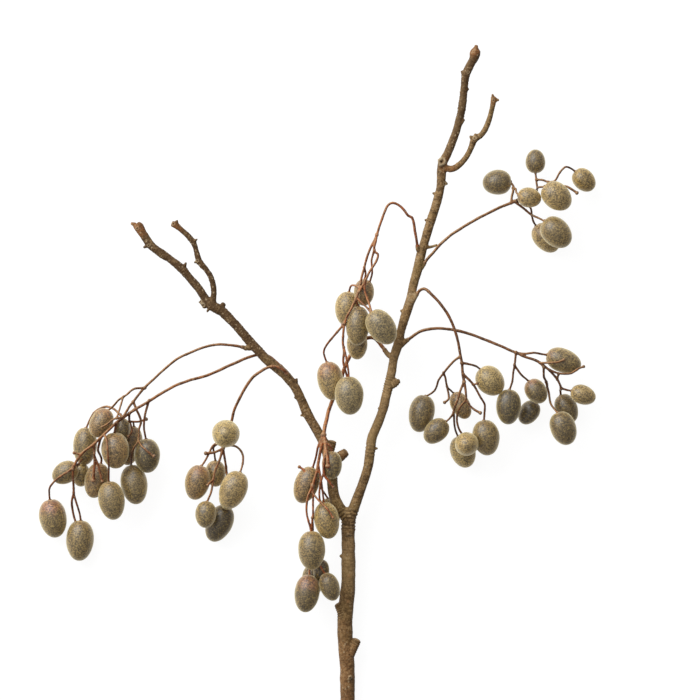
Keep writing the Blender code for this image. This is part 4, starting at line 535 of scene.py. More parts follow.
# Paler, worn stretches of the bark: (left, right, lowest, highest, amount).
WORN_STRETCHES = [
    (8.0, 60.0, 42.0, 122.0, 0.62),
    (-12.0, 12.0, -60.0, -20.0, 0.50),
]

# How stems are swept: how far apart their rings are, and how many sides a ring has.
STEM_RINGS = (1.6, 20)
STUB_RINGS = (1.2, 16)
SPUR_RINGS = (0.8, 12)
COLLAR_RINGS = (1.0, 14)
STALK_RINGS = (1.1, 12)

# How far a stem and a stalk stray from their points, and how often.
STEM_STRAY = (0.35, 0.045)
STALK_STRAY = (0.3, 0.11)
THICKNESS_CHANGE = 0.10  # how much a stem's radius changes as it strays
STRAY_SEED = 7           # they stray the same way each run
STEADY_ROWS = 4.0        # a stem's first and last rows stray less, so that its ends stay in place

# Swellings: their width and their length, as shares of the stem's radius.
SPUR_END = (1.05, 1.0)
STALK_JOINT = (1.42, 1.7)
BARE_END = (1.55, 1.35)
STUB_END_WIDTH = 0.99    # as a share of the stub's radius
STUB_END_LENGTH = 0.9
SEAT_RADIUS = 1.75       # the swelling where a stalk meets its fruit
SEAT_LENGTH = 0.9
KNOT_CHANCE = 0.025      # how often a row of a stalk has a small swelling of its own
PLAIN_ROWS = 6           # rows at each end of a stalk that have none

# How high the bark's own patterns stand.
SWELL_HEIGHT = 0.13
WRINKLE_HEIGHT = 0.10
FURROW_HEIGHT = 0.07
WART_HEIGHT = 0.36
CUT_SMOOTHNESS = 0.7     # how much of the relief a cut face lacks
DARK_ROUGHNESS = 1.2     # how much stronger the relief is where the bark is dark

COLLAR_SPARE = 0.25      # added to a collar's last radius, so that it holds the stalk
STALK_INSIDE = 0.5       # how far behind the middle of the foot's last stretch the first stalk starts
STALK_SUNK = 1.5         # how far a stalk's end goes into its fruit
STALK_SPARE = 0.09       # added to a stalk's radius for what smoothing takes away
SMOOTHING_ROUNDS = 3
EGG = 0.07               # a fruit is this much fuller towards its stalk, and slimmer towards its tip
PLUMP = 0.06             # how much rounder a fruit's ends are than an egg's
DIMPLE_DEPTH = 0.085     # as a share of half the fruit's length
DIMPLE_REACH = 0.16      # as a share of half the fruit's width
RESTING_HEIGHT = 0.02    # no point of a piece is lower than this over the surface
ROUTE_SHIFT = 37.0       # keeps the bark's pattern from repeating from stem to stem

# The photograph, and the camera that stands in for its own.
PHOTO_SIDE = 700         # pixels
PIXEL = 0.75             # what one pixel covers on the branch
FORK_PIXEL = (348, 508)
CAMERA_HEIGHT = 5.0      # metres, far enough off for the photograph's flat view
BRANCH_MIDDLE = 0.028    # metres, half the branch's height
SENSOR = 36.0            # the width of the camera's sensor

SKY_LEAN = (-0.62, 0.68, 0.39)      # where the sky is brightest
SKY_SPREAD = (-0.8, 0.9)            # how far from there the sky is dimmest, and brightest, as cosines
SKY_LEVELS = (0.35, 1.75)           # its dimmest and its brightest, as shares of the fill
BOUNCE_SPREAD = (0.05, -0.45)       # the table's bounce starts, and is full, at these heights of a direction
KEY_PLACE = (-0.80, 1.02, 0.98)     # metres
KEY_SIDE = 1.5                      # metres
KEY_COLOUR = (0.95, 0.98, 1.0)
PAINTED_LIGHT_SIDE = (-0.55, 0.60, 0.58)  # the key light's side: bark and stalks are painted paler (painted light) on the side facing it and darker (painted shade) on the side facing away
WHITE = (1.0, 1.0, 1.0, 1.0)


def smooth_route(knots, step):
    """Rows (X, Y, Z, radius) about a step apart, on one smooth curve through the knots."""
    rows = np.array(knots, dtype=float)
    rows = np.vstack([2.0 * rows[0] - rows[1], rows, 2.0 * rows[-1] - rows[-2]])
    spans = np.sqrt(np.maximum(np.linalg.norm(np.diff(rows[:, :3], axis=0), axis=1), 1e-6))
    times = np.concatenate([[0.0], np.cumsum(spans)])
    smooth = []
    for i in range(1, len(rows) - 2):
        count = max(1, round(spans[i] ** 2 / step))
        for t in np.linspace(times[i], times[i + 1], count, endpoint=False):
            smooth.append(curve_point(rows[i - 1:i + 3], times[i - 1:i + 3], t))
    smooth.append(rows[-2])
    return np.array(smooth)


def curve_point(rows, times, t):
    """One point of a centripetal Catmull-Rom curve, blended from four rows."""
    while len(rows) > 1:
        level = len(times) - len(rows) + 1
        rows = [
            (rows[i] * (times[i + level] - t) + rows[i + 1] * (t - times[i])) / (times[i + level] - times[i])
            for i in range(len(rows) - 1)
        ]
    return rows[0]


def wander(rows, amount, rate, seed):
    """Let a route stray a little from side to side, and its radius change, as grown things do."""
    noise.seed_set(STRAY_SEED)
    moved = rows.copy()
    last = len(rows) - 1
    for index, row in enumerate(moved):
        place = Vector(row[:3]) * rate + Vector((seed, 0.0, 0.0))
        ease = min(1.0, index / STEADY_ROWS, (last - index) / STEADY_ROWS)
        row[:3] += np.array(noise.noise_vector(place)) * amount * ease
        row[3] *= 1.0 + THICKNESS_CHANGE * noise.noise(place * 2.3)
    return moved


def grow(knots, rings, home, stray=None):
    """Add a stem through its knots to a mesh; returns the rows of its route."""
    step, sides = rings
    rows = smooth_route(knots, step)
    if stray:
        rows = wander(rows, *stray)
    sweep(rows, sides, home)
    return rows


def sweep(rows, sides, home):
    """Add a stem to a mesh: a capped circle, extruded from ring to ring along the rows."""
    form = bmesh.new()
    bmesh.ops.create_circle(form, cap_ends=True, segments=sides, radius=1.0)
    places = [Vector(row[:3]) * MM for row in rows]
    turn = Vector((0, 0, 1)).rotation_difference(places[1] - places[0])
    last = ring_matrix(places[0], turn, rows[0][3])
    form.transform(last)
    cap = form.faces[:][0]
    way = (places[1] - places[0]).normalized()
    for index in range(1, len(rows)):
        ahead = places[min(index + 1, len(rows) - 1)] - places[index - 1]
        turn = way.rotation_difference(ahead.normalized()) @ turn
        way = ahead.normalized()
        fresh = ring_matrix(places[index], turn, rows[index][3])
        grown = bmesh.ops.extrude_face_region(form, geom=[cap])["geom"]
        cap = next(part for part in grown if isinstance(part, bmesh.types.BMFace))
        bmesh.ops.transform(form, matrix=fresh @ last.inverted(), verts=cap.verts)
        last = fresh
    bmesh.ops.recalc_face_normals(form, faces=form.faces)
    append(form, home)


def ring_matrix(place, turn, radius):
    """Where a ring of the stem stands, how it is turned and how wide it is."""
    return Matrix.LocRotScale(place, turn, Vector((1.0, 1.0, 1.0)) * radius * MM)


def append(form, home):
    """Put a small mesh's faces in a larger one, and free it."""
    scrap = bpy.data.meshes.new("scrap")
    form.to_mesh(scrap)
    form.free()
    home.from_mesh(scrap)
    bpy.data.meshes.remove(scrap)


def knob(place, way, radius, length, home):
    """Add a round swelling, drawn out along a stem."""
    turn = Vector((0, 0, 1)).rotation_difference(Vector(way))
    size = Vector((radius, radius, length)) * MM
    form = bmesh.new()
    bmesh.ops.create_icosphere(form, subdivisions=2, radius=1.0,
                               matrix=Matrix.LocRotScale(Vector(place) * MM, turn, size))
    append(form, home)


def swell(row, way, wide, long, home):
    """Add a swelling to a stem, with its width and length as shares of the stem's radius."""
    knob(row[:3], way, row[3] * wide, row[3] * long, home)


def new_piece(name, form):
    """An object in the scene with a small mesh's faces."""
    mesh = bpy.data.meshes.new(name)
    form.to_mesh(mesh)
    form.free()
    piece = bpy.data.objects.new(name, mesh)
    bpy.context.scene.collection.objects.link(piece)
    return piece


def one_skin(name, home, fineness):
    """Grow one closed skin round overlapping stems and swellings, and smooth it."""
    home.transform(Matrix.Translation(FORK * MM))
    piece = new_piece(name, home)
    overlapping = piece.data
    skin = piece.modifiers.new("skin", "REMESH")
    skin.mode = "VOXEL"
    skin.voxel_size = fineness
    soften = piece.modifiers.new("soften", "SMOOTH")
    soften.factor = 0.5
    soften.iterations = SMOOTHING_ROUNDS
    piece.data = applied_mesh(piece)
    piece.modifiers.clear()
    bpy.data.meshes.remove(overlapping)
    piece.data.name = name
    piece.data.shade_smooth()
    return piece


def applied_mesh(piece):
    """The mesh that a piece's modifiers make."""
    bpy.context.view_layer.update()
    depsgraph = bpy.context.evaluated_depsgraph_get()
    return bpy.data.meshes.new_from_object(piece.evaluated_get(depsgraph))


def mesh_places(mesh):
    """A mesh's points in millimetres from the fork, and their normals."""
    count = len(mesh.vertices)
    places = np.empty(count * 3, np.float32)
    normals = np.empty(count * 3, np.float32)
    mesh.vertices.foreach_get("co", places)
    mesh.vertices.foreach_get("normal", normals)
    return places.reshape(-1, 3) / MM - np.array(FORK), normals.reshape(-1, 3)


def set_places(mesh, places):
    """Move a mesh's points, given in millimetres from the fork, and keep them over the surface."""
    moved = places + np.array(FORK)
    moved[:, 2] = np.maximum(moved[:, 2], RESTING_HEIGHT)
    mesh.vertices.foreach_set("co", (moved * MM).astype(np.float32).ravel())
    mesh.update()


def store(mesh, **layers):
    """Store numbers or vectors at each point of a mesh, under their names, for its material."""
    for name, values in layers.items():
        kind, key = ("FLOAT_VECTOR", "vector") if values.ndim == 2 else ("FLOAT", "value")
        layer = mesh.attributes.new(name, kind, "POINT")
        layer.data.foreach_set(key, values.astype(np.float32).ravel())


def nearest_rows(places, routes):
    """For each point, the nearest row of the stems' routes: its distance along them, and its offset."""
    tree = kdtree.KDTree(sum(len(rows) for rows in routes))
    marks = []
    start = 0.0
    for rows in routes:
        lengths = np.linalg.norm(np.diff(rows[:, :3], axis=0), axis=1)
        runs = np.concatenate([[0.0], np.cumsum(lengths)]) + start
        ways = np.gradient(rows[:, :3], axis=0)
        ways /= np.linalg.norm(ways, axis=1)[:, None]
        for row, run, way in zip(rows, runs, ways):
            tree.insert(row[:3], len(marks))
            marks.append((*row, run, *way))
        start = runs[-1] + ROUTE_SHIFT
    tree.balance()
    marks = np.array(marks)
    found = marks[[tree.find(place)[1] for place in places]]
    offsets = places - found[:, :3]
    ways = found[:, 5:8]
    ahead = (offsets * ways).sum(axis=1)
    along = found[:, 4] + ahead
    cross = offsets - ways * ahead[:, None]
    return along, cross, found[:, 3]


def bumps(values, rate, seed):
    """Smooth noise from -1 to 1 at rows of three numbers."""
    shift = Vector((seed, -seed, 2.0 * seed))
    return np.array([noise.noise(Vector(value) * rate + shift) for value in values])


def soft_step(values, low, high):
    """0 below low, 1 above high, and a smooth turn between."""
    share = np.clip((values - low) / (high - low), 0.0, 1.0)
    return share * share * (3.0 - 2.0 * share)


def band(values, low, high, soft):
    """1 from low to high and 0 outside, with soft ends."""
    return soft_step(values, low - soft, low + soft) * (1 - soft_step(values, high - soft, high + soft))


def away_from(places, x, y):
    """How far each place is from a point of the photograph's plane."""
    return np.hypot(places[:, 0] - x, places[:, 1] - y)


def foot_middle(spray):
    """The middle of the last stretch of a spray's foot, and the way of that stretch."""
    before, end = (Vector(place) for place in spray["foot"][-2:])
    return (before + end) / 2, (end - before).normalized()


def bark_form(fineness):
    """The skin of the wood, from its stems, stubs, spurs and collars."""
    home = bmesh.new()
    routes = []
    for seed, stem in enumerate([MAIN_STEM, LEFT_LEADER, RIGHT_LEADER, LEFT_TWIG, RIGHT_TWIG]):
        routes.append(grow(stem, STEM_RINGS, home, (*STEM_STRAY, seed * 7.3)))
    for stub in STUBS:
        rows = grow(stub, STUB_RINGS, home)
        routes.append(rows)
        way = rows[-1][:3] - rows[-2][:3]
        knob(rows[-1][:3], way, rows[-1][3] * STUB_END_WIDTH, STUB_END_LENGTH, home)
    for spur in SPURS:
        rows = grow(spur, SPUR_RINGS, home)
        swell(rows[-1], rows[-1][:3] - rows[-2][:3], *SPUR_END, home)
    for spray in SPRAYS.values():
        foot = [Vector(place) for place in spray["foot"]]
        foot[-1] = foot_middle(spray)[0]
        first, last = spray["collar"]
        radii = [first, (first + last) / 2, last + COLLAR_SPARE]
        grow([(*place, radius) for place, radius in zip(foot, radii)], COLLAR_RINGS, home)
    return one_skin("bark_wood", home, fineness), routes


def raise_rings(lift, places, along, coarse, ragged):
    """Add the rings of the stretches where the bark is gathered to the lift."""
    for left, right, low, high, spacing, height in RINGED:
        inside = band(places[:, 0], left, right, 0.5) * band(places[:, 1], low, high, 1.0)
        waves = np.cos((along + 0.5 * coarse + 0.12 * ragged) * math.tau / spacing)
        lift += inside * height * waves * (1.0 + 0.7 * ragged)


def raise_scars(lift, places, up, ragged):
    """Add the scars' rims and hollows to the lift; returns how pale and how dark they are at each point."""
    pale = np.zeros(len(places))
    dark = np.zeros(len(places))
    for x, y, reach, rim, depth, paleness, darkness in SCARS:
        away = away_from(places, x, y) / reach * (1.0 + 0.4 * ragged)
        edge = np.exp(-((away - 0.78) / 0.26) ** 2) * up
        middle = np.exp(-(away / 0.42) ** 2) * up
        lift += rim * edge - depth * middle
        pale = np.maximum(pale, paleness * edge)
        dark = np.maximum(dark, darkness * middle)
    return pale, dark


def cut_share(places):
    """1 at the points of the cut faces, and 0 on bark."""
    cut = np.zeros(len(places))
    for before, (*middle, reach) in CUTS:
        way = np.array(middle) - np.array(before)
        way = way / np.linalg.norm(way)
        offset = places - np.array(middle)
        ahead = offset @ way
        aside = np.linalg.norm(offset - np.outer(ahead, way), axis=1)
        near = soft_step(ahead, -1.0, -0.35) * (1 - soft_step(ahead, 1.5, 2.5))
        near *= 1 - soft_step(aside, reach * 0.98, reach * 1.25)
        cut = np.maximum(cut, near)
    return cut


def warm_share(places):
    """How red the bark is at each point."""
    warm = 0.45 * (1 - soft_step(places[:, 1], -120.0, -55.0))
    for x, y, reach, amount in WARM_PLACES:
        away = away_from(places, x, y) / reach
        warm = np.maximum(warm, amount * (1 - soft_step(away, 0.5, 1.0)))
    return warm


def dark_share(places):
    """How dark the bark's stretch is at each point: dark tips, a darker left side and a dark foot."""
    x = places[:, 0]
    y = places[:, 1]
    far_left = x < -40.0
    left_tips = np.where(far_left, soft_step(y, 95.0, 130.0), 0.0)
    left_side = 0.35 * (1 - soft_step(x, -28.0, -14.0))
    on_twig = soft_step(x - 0.28 * (y - 255.0), 75.0, 80.0)
    right_tips = np.where(far_left, 0.0, soft_step(y, 215.0, 290.0) * (0.85 - 0.65 * on_twig))
    foot = 0.65 * (1 - soft_step(y, -150.0, -110.0))
    return np.maximum.reduce([left_tips, left_side, right_tips, foot])


def worn_share(places):
    """How worn the bark is at each point."""
    worn = np.zeros(len(places))
    for left, right, low, high, amount in WORN_STRETCHES:
        inside = (places[:, 0] > left) & (places[:, 0] < right)
        worn = np.maximum(worn, np.where(inside, amount * band(places[:, 1], low, high, 8.0), 0.0))
    return worn


def bark_relief(piece, routes, relief):
    """Raise the bark's rings, wrinkles, scars and cut faces, and store where they are."""
    mesh = piece.data
    places, normals = mesh_places(mesh)
    along, cross, radius = nearest_rows(places, routes)
    up = soft_step(normals[:, 2], -0.1, 0.5)
    coarse = bumps(places, 0.16, 3.0)
    ragged = bumps(places, 0.85, 47.0)
    wrinkles = bumps(np.column_stack([along * 1.15, cross[:, :2] * 0.10]), 1.0, 11.0)
    furrows = bumps(np.column_stack([along * 0.09, cross[:, ::2] * 0.75]), 1.0, 19.0)
    warts = np.maximum(bumps(places, 0.62, 31.0) - 0.28, 0.0)

    lift = SWELL_HEIGHT * coarse + WRINKLE_HEIGHT * wrinkles + FURROW_HEIGHT * furrows + WART_HEIGHT * warts
    lift *= relief
    raise_rings(lift, places, along, coarse, ragged)
    pale, dark = raise_scars(lift, places, up, ragged)
    cut = cut_share(places)
    shade = dark_share(places)
    lift *= 1.0 - CUT_SMOOTHNESS * cut
    lift *= 1.0 + DARK_ROUGHNESS * shade
    set_places(mesh, places + normals * lift[:, None])
    # weathered is how far each point faces the key light; bark_finish paints light and shade with it.
    store(
        mesh, along=along, cross=cross, core=np.linalg.norm(cross, axis=1) / np.maximum(radius, 0.5),
        pale=pale, dark=dark, cut=cut, warm=warm_share(places), shade=shade, worn=worn_share(places),
        weathered=normals @ np.array(PAINTED_LIGHT_SIDE), lift=lift,
    )


def fruit_direction(tilt, pitch):
    """The way a fruit's tip points."""
    turn = math.radians(tilt)
    raise_by = math.radians(pitch)
    flat = math.cos(raise_by)
    return Vector((math.sin(turn) * flat, -math.cos(turn) * flat, math.sin(raise_by)))


def stalk_end(fruit):
    """The point just inside a fruit where its stalk ends."""
    x, y, z, length, _, tilt, pitch = fruit[:7]
    return Vector((x, y, z)) - fruit_direction(tilt, pitch) * (length / 2 - STALK_SUNK)


def stalk_knots(spray, index):
    """The points that one of a spray's stalks runs through, with its radius at each."""
    first_radius, last_radius, points, number = spray["stalks"][index]
    route = [Vector(place) for place in points]
    if index == 0:
        middle, way = foot_middle(spray)
        route = [middle - way * STALK_INSIDE, Vector(spray["foot"][-1])] + route
    if number is not None:
        route.append(stalk_end(spray["fruits"][number]))
    change = last_radius - first_radius
    steps = len(route) - 1
    return [
        (*place, first_radius + change * step / steps + STALK_SPARE) for step, place in enumerate(route)
    ]


def stalk_form(name, spray, fineness, seed):
    """The skin of one spray's stalks, with their joints, flared ends and fruit seats."""
    draw = random.Random(seed)
    home = bmesh.new()
    routes = []
    for index, (*_, number) in enumerate(spray["stalks"]):
        rows = grow(stalk_knots(spray, index), STALK_RINGS, home, (*STALK_STRAY, seed * 5.1 + index))
        routes.append(rows)
        ways = np.gradient(rows[:, :3], axis=0)
        swell(rows[0], ways[0], *STALK_JOINT, home)
        if number is None:
            swell(rows[-1], ways[-1], *BARE_END, home)
        else:
            seat = Vector(rows[-1][:3]) - Vector(ways[-1]).normalized() * (STALK_SUNK * 0.55)
            knob(seat, ways[-1], SEAT_RADIUS, SEAT_LENGTH, home)
        for row, way in zip(rows[PLAIN_ROWS:-PLAIN_ROWS], ways[PLAIN_ROWS:-PLAIN_ROWS]):
            if draw.random() < KNOT_CHANCE:
                swell(row, way, draw.uniform(1.12, 1.3), draw.uniform(0.7, 1.2), home)
    return one_skin(name, home, fineness), routes


def stalk_relief(piece, routes):
    """Roughen a spray's stalks a little, and store the places that their finish needs."""
    mesh = piece.data
    places, normals = mesh_places(mesh)
    along, cross, radius = nearest_rows(places, routes)
    wrinkles = bumps(np.column_stack([along, cross[:, :2] * 0.1]), 1.3, 2.0)
    lift = 0.06 * bumps(places, 0.9, 5.0) + 0.05 * wrinkles
    size = np.linalg.norm(cross, axis=1)
    set_places(mesh, places + normals * lift[:, None])
    # weathered is how far each point faces the key light; stalk_finish paints light and shade with it.
    store(
        mesh, along=along, cross=cross, knob=soft_step(size / radius, 1.12, 1.45),
        weathered=normals @ np.array(PAINTED_LIGHT_SIDE),
    )


def egg_point(spot, shift):
    """Where a point of a ball is on a fruit, which is fuller towards its stalk and dimpled there."""
    aside = math.hypot(spot.x, spot.y)
    uneven = 0.022 * noise.noise(spot * 1.3 + shift) + 0.008 * noise.noise(spot * 4.0 + shift)
    fullness = (1.0 + EGG * spot.z) * max(aside, 0.01) ** -PLUMP * (1 + uneven)
    height = spot.z
    if height > 0:
        height -= DIMPLE_DEPTH * math.exp(-(aside / DIMPLE_REACH) ** 2)
    return Vector((spot.x * fullness, spot.y * fullness, height))


def fruit_form(name, fruits, sides, rings):
    """One spray's fruits: full eggs, a little uneven, with a dimple at the stalk."""
    home = bmesh.new()
    blush = home.verts.layers.float.new("blush")
    end = home.verts.layers.float.new("end")
    tint = home.verts.layers.float_vector.new("tint")
    for number, (x, y, z, length, width, tilt, pitch, tone, flush) in fruits.items():
        draw = random.Random(number * 31 + int(abs(x) * 10))
        made = bmesh.ops.create_uvsphere(home, u_segments=sides, v_segments=rings, radius=1.0)["verts"]
        shift = Vector([draw.uniform(-50, 50) for _ in range(3)])
        size = Vector((width / 2, width / 2, length / 2))
        for vertex in made:
            vertex[blush] = flush
            vertex[end] = vertex.co.z
            vertex[tint] = Vector(TONE_COLOURS[tone])
            vertex.co = egg_point(vertex.co, shift) * size
        turn = Vector((0, 0, -1)).rotation_difference(fruit_direction(tilt, pitch))
        place = Matrix.LocRotScale(Vector((x, y, z)) + FORK, turn, None)
        bmesh.ops.transform(home, matrix=Matrix.Scale(MM, 4) @ place, verts=made)
    piece = new_piece(name, home)
    mesh = piece.data
    mesh.shade_smooth()
    places, normals = mesh_places(mesh)
    set_places(mesh, places)
    # How far each point faces up, for the sheen painted on the skin.
    store(mesh, upward=normals[:, 2])
    return piece


class Wire:
    """A shader socket to calculate with: an expression on it adds the Math nodes that work it out."""

    def __init__(self, finish, socket):
        self.finish = finish
        self.socket = socket

    def math(self, operation, *values):
        """Add one Math node."""
        return self.finish.node("ShaderNodeMath", {"operation": operation}, dict(enumerate(values)))

    def __add__(self, other):
        return self.math("ADD", self, other)

    __radd__ = __add__

    def __sub__(self, other):
        return self.math("SUBTRACT", self, other)

    def __rsub__(self, other):
        return self.math("SUBTRACT", other, self)

    def __mul__(self, other):
        return self.math("MULTIPLY", self, other)

    def sine(self):
        return self.math("SINE", self)

    def step(self, low, high):
        """0 below low, 1 above high, and smooth between; the other way round where low is over high."""
        return self.finish.node("ShaderNodeMapRange", {"interpolation_type": "SMOOTHSTEP"}, {
            "Value": self, "From Min": low, "From Max": high,
        })


class Nodes:
    """A node tree, and how nodes are added to it."""

    def __init__(self, tree):
        self.tree = tree

    def node(self, kind, settings=None, sockets=None, output=0):
        """Add a node: its settings first, then its sockets' values or links."""
        made = self.tree.nodes.new(kind)
        for name, setting in (settings or {}).items():
            setattr(made, name, setting)
        for name, value in (sockets or {}).items():
            self.feed(made.inputs[name], value)
        return Wire(self, made.outputs[output])

    def feed(self, socket, value):
        """Link a wire to a socket, or set the socket's value."""
        if isinstance(value, Wire):
            self.tree.links.new(value.socket, socket)
        else:
            socket.default_value = value


class Finish(Nodes):
    """A material with one Principled shader, and the nodes that feed it."""

    def __init__(self, name):
        self.material = bpy.data.materials.new(name)
        self.material.use_nodes = True
        super().__init__(self.material.node_tree)
        self.shader = self.tree.nodes["Principled BSDF"]
        self.place = self.node("ShaderNodeTexCoord", output="Object")

    def set(self, **values):
        """Feed the shader's own sockets; a name's low lines stand for spaces."""
        for name, value in values.items():
            self.feed(self.shader.inputs[name.replace("_", " ")], value)

    def stored(self, name, output="Fac"):
        """What a mesh stores at its points under a name."""
        return self.node("ShaderNodeAttribute", {"attribute_name": name}, output=output)

    def grain(self, rate, detail, rough):
        """Noise about 0.5; rate is in waves a metre."""
        return self.node("ShaderNodeTexNoise", {}, {
            "Vector": self.place, "Scale": rate, "Detail": detail, "Roughness": rough,
        })

    def run_grain(self, across, lengthwise, detail, rough):
        """Noise that follows a stem: waves a millimetre round it and along it."""
        cross = self.scaled(self.stored("cross", "Vector"), across)
        return self.node("ShaderNodeTexNoise", {"noise_dimensions": "4D"}, {
            "Vector": cross, "W": self.stored("along") * lengthwise, "Scale": 1.0, "Detail": detail,
            "Roughness": rough,
        })

    def cells(self, rate):
        """The distance to the nearest of many scattered points."""
        return self.node("ShaderNodeTexVoronoi", {}, {"Vector": self.place, "Scale": rate})

    def scaled(self, vector, amount):
        """A vector or a colour times a number."""
        return self.node("ShaderNodeVectorMath", {"operation": "SCALE"}, {0: vector, "Scale": amount})

    def coats(self, colour, *coats):
        """A colour with others laid over it, each given as how far it covers, and the colour."""
        for share, coat in coats:
            colour = self.node("ShaderNodeMix", {"data_type": "RGBA", "clamp_factor": True}, {
                0: share, 6: self.colour(colour), 7: self.colour(coat),
            }, output=2)
        return colour

    def colour(self, value):
        """A wire as it is, or three numbers as a socket's colour."""
        return value if isinstance(value, Wire) else (*value, 1.0)

    def relief(self, height, depth, strength):
        """Bump from a height of 0 to 1; depth is in metres."""
        return self.node("ShaderNodeBump", {}, {"Height": height, "Distance": depth, "Strength": strength})


def bark_finish(look):
    """Brown bark with fine cross rings, lengthwise cracks, pale flecks and redder tips."""
    bark = Finish("bark")
    mottle = bark.grain(190.0, 5.0, 0.65)
    patches = bark.grain(42.0, 3.0, 0.5)
    rings = bark.run_grain(0.13, 0.80, 4.0, 0.68)
    cracks = bark.run_grain(0.85, 0.16, 4.0, 0.62)
    spots = bark.grain(430.0, 2.0, 0.5)
    grit = bark.grain(820.0, 3.0, 0.6)
    flecks = 1.0 - bark.cells(360.0).step(0.14, 0.36)
    tone = mottle * 0.24 + rings * 0.40 + cracks * 0.20 + grit * 0.16
    lift = bark.stored("lift")
    shade = bark.stored("shade")
    clear = 1.0 - shade * 0.60
    weathered = bark.stored("weathered") + (grit - 0.5) * 0.5

    core = bark.stored("core")
    growth = (core * 22.0 + mottle * 1.5).sine() * 0.5 + 0.5
    wood = bark.coats(
        look.cut_wood,
        (growth * 0.35 + mottle * 0.3, look.pale_bark),
        (core.step(0.20, 0.10) * 0.7, look.dark_bark),
        (core.step(0.80, 0.92) * 0.8, look.dark_bark),
    )
    colour = bark.coats(
        look.dark_bark,
        (tone.step(0.41, 0.53), look.mid_bark),
        (tone.step(0.51, 0.62) * 0.85, look.pale_bark),
        (patches.step(0.46, 0.62) * 0.35, look.green_bark),
        (shade * (0.50 + mottle * 0.8), look.old_bark),
        (bark.stored("warm") * (0.3 + mottle * 0.7), look.red_bark),
        (flecks * mottle.step(0.44, 0.60) * 0.75, look.fleck),
        (grit.step(0.45, 0.34) * 0.60, look.dark_bark),
        (grit.step(0.55, 0.66) * 0.40 * clear, look.pale_bark),
        (spots.step(0.45, 0.34) * 0.50, look.dark_bark),
        (spots.step(0.56, 0.68) * 0.42 * clear, look.pale_bark),
        # Painted shade where the bark's relief sinks, and painted light where it rises.
        (lift.step(0.02, -0.22) * 0.75, look.dark_bark),
        (lift.step(0.10, 0.42) * 0.40, look.pale_bark),
        (flecks * shade * grit.step(0.45, 0.60) * 0.7, look.fleck),
        (bark.stored("worn") * (0.20 + mottle * 0.6), look.pale_bark),
        # Painted shade on the side facing away from the key light, and painted light on the side facing it.
        (weathered.step(0.20, -0.45) * 0.65, look.dark_bark),
        (weathered.step(0.55, 0.95) * 0.20 * clear, look.pale_bark),
        (bark.stored("pale") * (0.55 + grit * 0.4), look.scar),
        (bark.stored("dark") * 0.85, look.dark_bark),
        (bark.stored("cut") * 0.9, wood),
    )
    height = rings * 0.36 + cracks * 0.22 + mottle * 0.16 + grit * 0.26 + flecks * 0.10
    bark.set(
        Base_Color=colour, Roughness=0.52 + mottle * 0.3, Normal=bark.relief(height, 0.0011, 0.9),
        Specular_IOR_Level=0.28, Specular_Tint=(1.0, 0.86, 0.68, 1.0),
    )
    return bark.material


def between(first, second, share):
    """A plain colour between two others."""
    return tuple(a + (b - a) * share for a, b in zip(first, second))


def stalk_finish(look, name, warmth):
    """Red-brown stalks, paler at their joints."""
    stalk = Finish(name)
    mottle = stalk.grain(330.0, 4.0, 0.6)
    flecks = stalk.grain(900.0, 2.0, 0.55)
    long = stalk.run_grain(0.9, 0.22, 3.0, 0.6)
    tone = mottle * 0.6 + long * 0.4
    weathered = stalk.stored("weathered") + (long - 0.5) * 0.5
    low = between(look.dark_stalk, look.red_stalk, warmth)
    high = between(look.pale_stalk, look.orange_stalk, warmth)
    colour = stalk.coats(
        low,
        (tone.step(0.42, 0.60), high),
        # Painted shade on the side facing away from the key light, and a painted tan light on the side facing
        # it.
        (weathered.step(0.50, -0.30) * 0.80, low),
        (weathered.step(0.55, 1.05) * 0.62, look.painted_lit_stalk),
        (flecks.step(0.56, 0.68) * 0.5, look.stalk_fleck),
        (stalk.stored("knob") * (0.2 + mottle * 0.5), look.joint),
    )
    height = mottle * 0.5 + long * 0.5
    stalk.set(
        Base_Color=colour, Roughness=0.34 + mottle * 0.2, Normal=stalk.relief(height, 0.0006, 0.8),
        Specular_IOR_Level=0.5, Specular_Tint=(1.0, 0.80, 0.60, 1.0),
    )
    return stalk.material


def fruit_finish(look):
    """Downy olive-brown skin, speckled with yellow and dark, and flushed red-brown at the stalk."""
    skin = Finish("downy_skin")
    fine = skin.grain(1220.0, 2.0, 0.6)
    grain = skin.grain(790.0, 3.0, 0.65)
    mottle = skin.grain(300.0, 3.0, 0.55)
    patches = skin.grain(130.0, 3.0, 0.5)
    end = skin.stored("end")
    blush = skin.stored("blush")
    upward = skin.stored("upward") + (mottle - 0.5) * 0.35
    speckle = fine * 0.5 + grain * 0.5
    near = (end + (patches - 0.5) * 1.2 + blush * 0.9).step(0.70, 1.60)

    colour = skin.coats(
        skin.stored("tint", "Color"),
        (patches.step(0.40, 0.64) * 0.40, look.shade),
        # Painted sheen: the top of each fruit is painted darker and greyer, and its flanks yellower, in place
        # of the down's bright edge.
        (upward.step(0.55, 0.95) * 0.42, look.painted_sheen_top),
        (upward.step(0.80, 0.15) * 0.36, look.yellow),
        (near * (0.25 + blush * 0.65), look.flush),
    )
    colour = skin.coats(
        skin.scaled(colour, 0.32 + speckle.step(0.40, 0.60) * 1.42),
        (grain.step(0.54, 0.65) * 0.45, look.yellow),
        (fine.step(0.44, 0.35) * 0.60, look.pit),
        (end.step(-0.975, -0.995) * 0.5, look.pit),
        (end.step(0.955, 0.985) * 0.7, look.seat),
    )
    skin.set(
        Base_Color=colour, Roughness=0.36 + fine * 0.12, Normal=skin.relief(speckle, 0.00025, 0.6),
        Specular_IOR_Level=0.72, Sheen_Weight=1.0, Sheen_Roughness=0.40, Sheen_Tint=(*look.down, 1.0),
    )
    return skin.material


def dress(piece, finish, slot, *nodes):
    """Give a piece its finish and its place in the frame."""
    piece.data.materials.clear()
    piece.data.materials.append(finish)
    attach(piece, BODY)
    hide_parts(*nodes)


def colour_property(name, description, default):
    """A colour that a user may change."""
    return FloatVectorProperty(
        name=name, description=description, subtype="COLOR", min=0.0, max=1.0, default=default,
    )


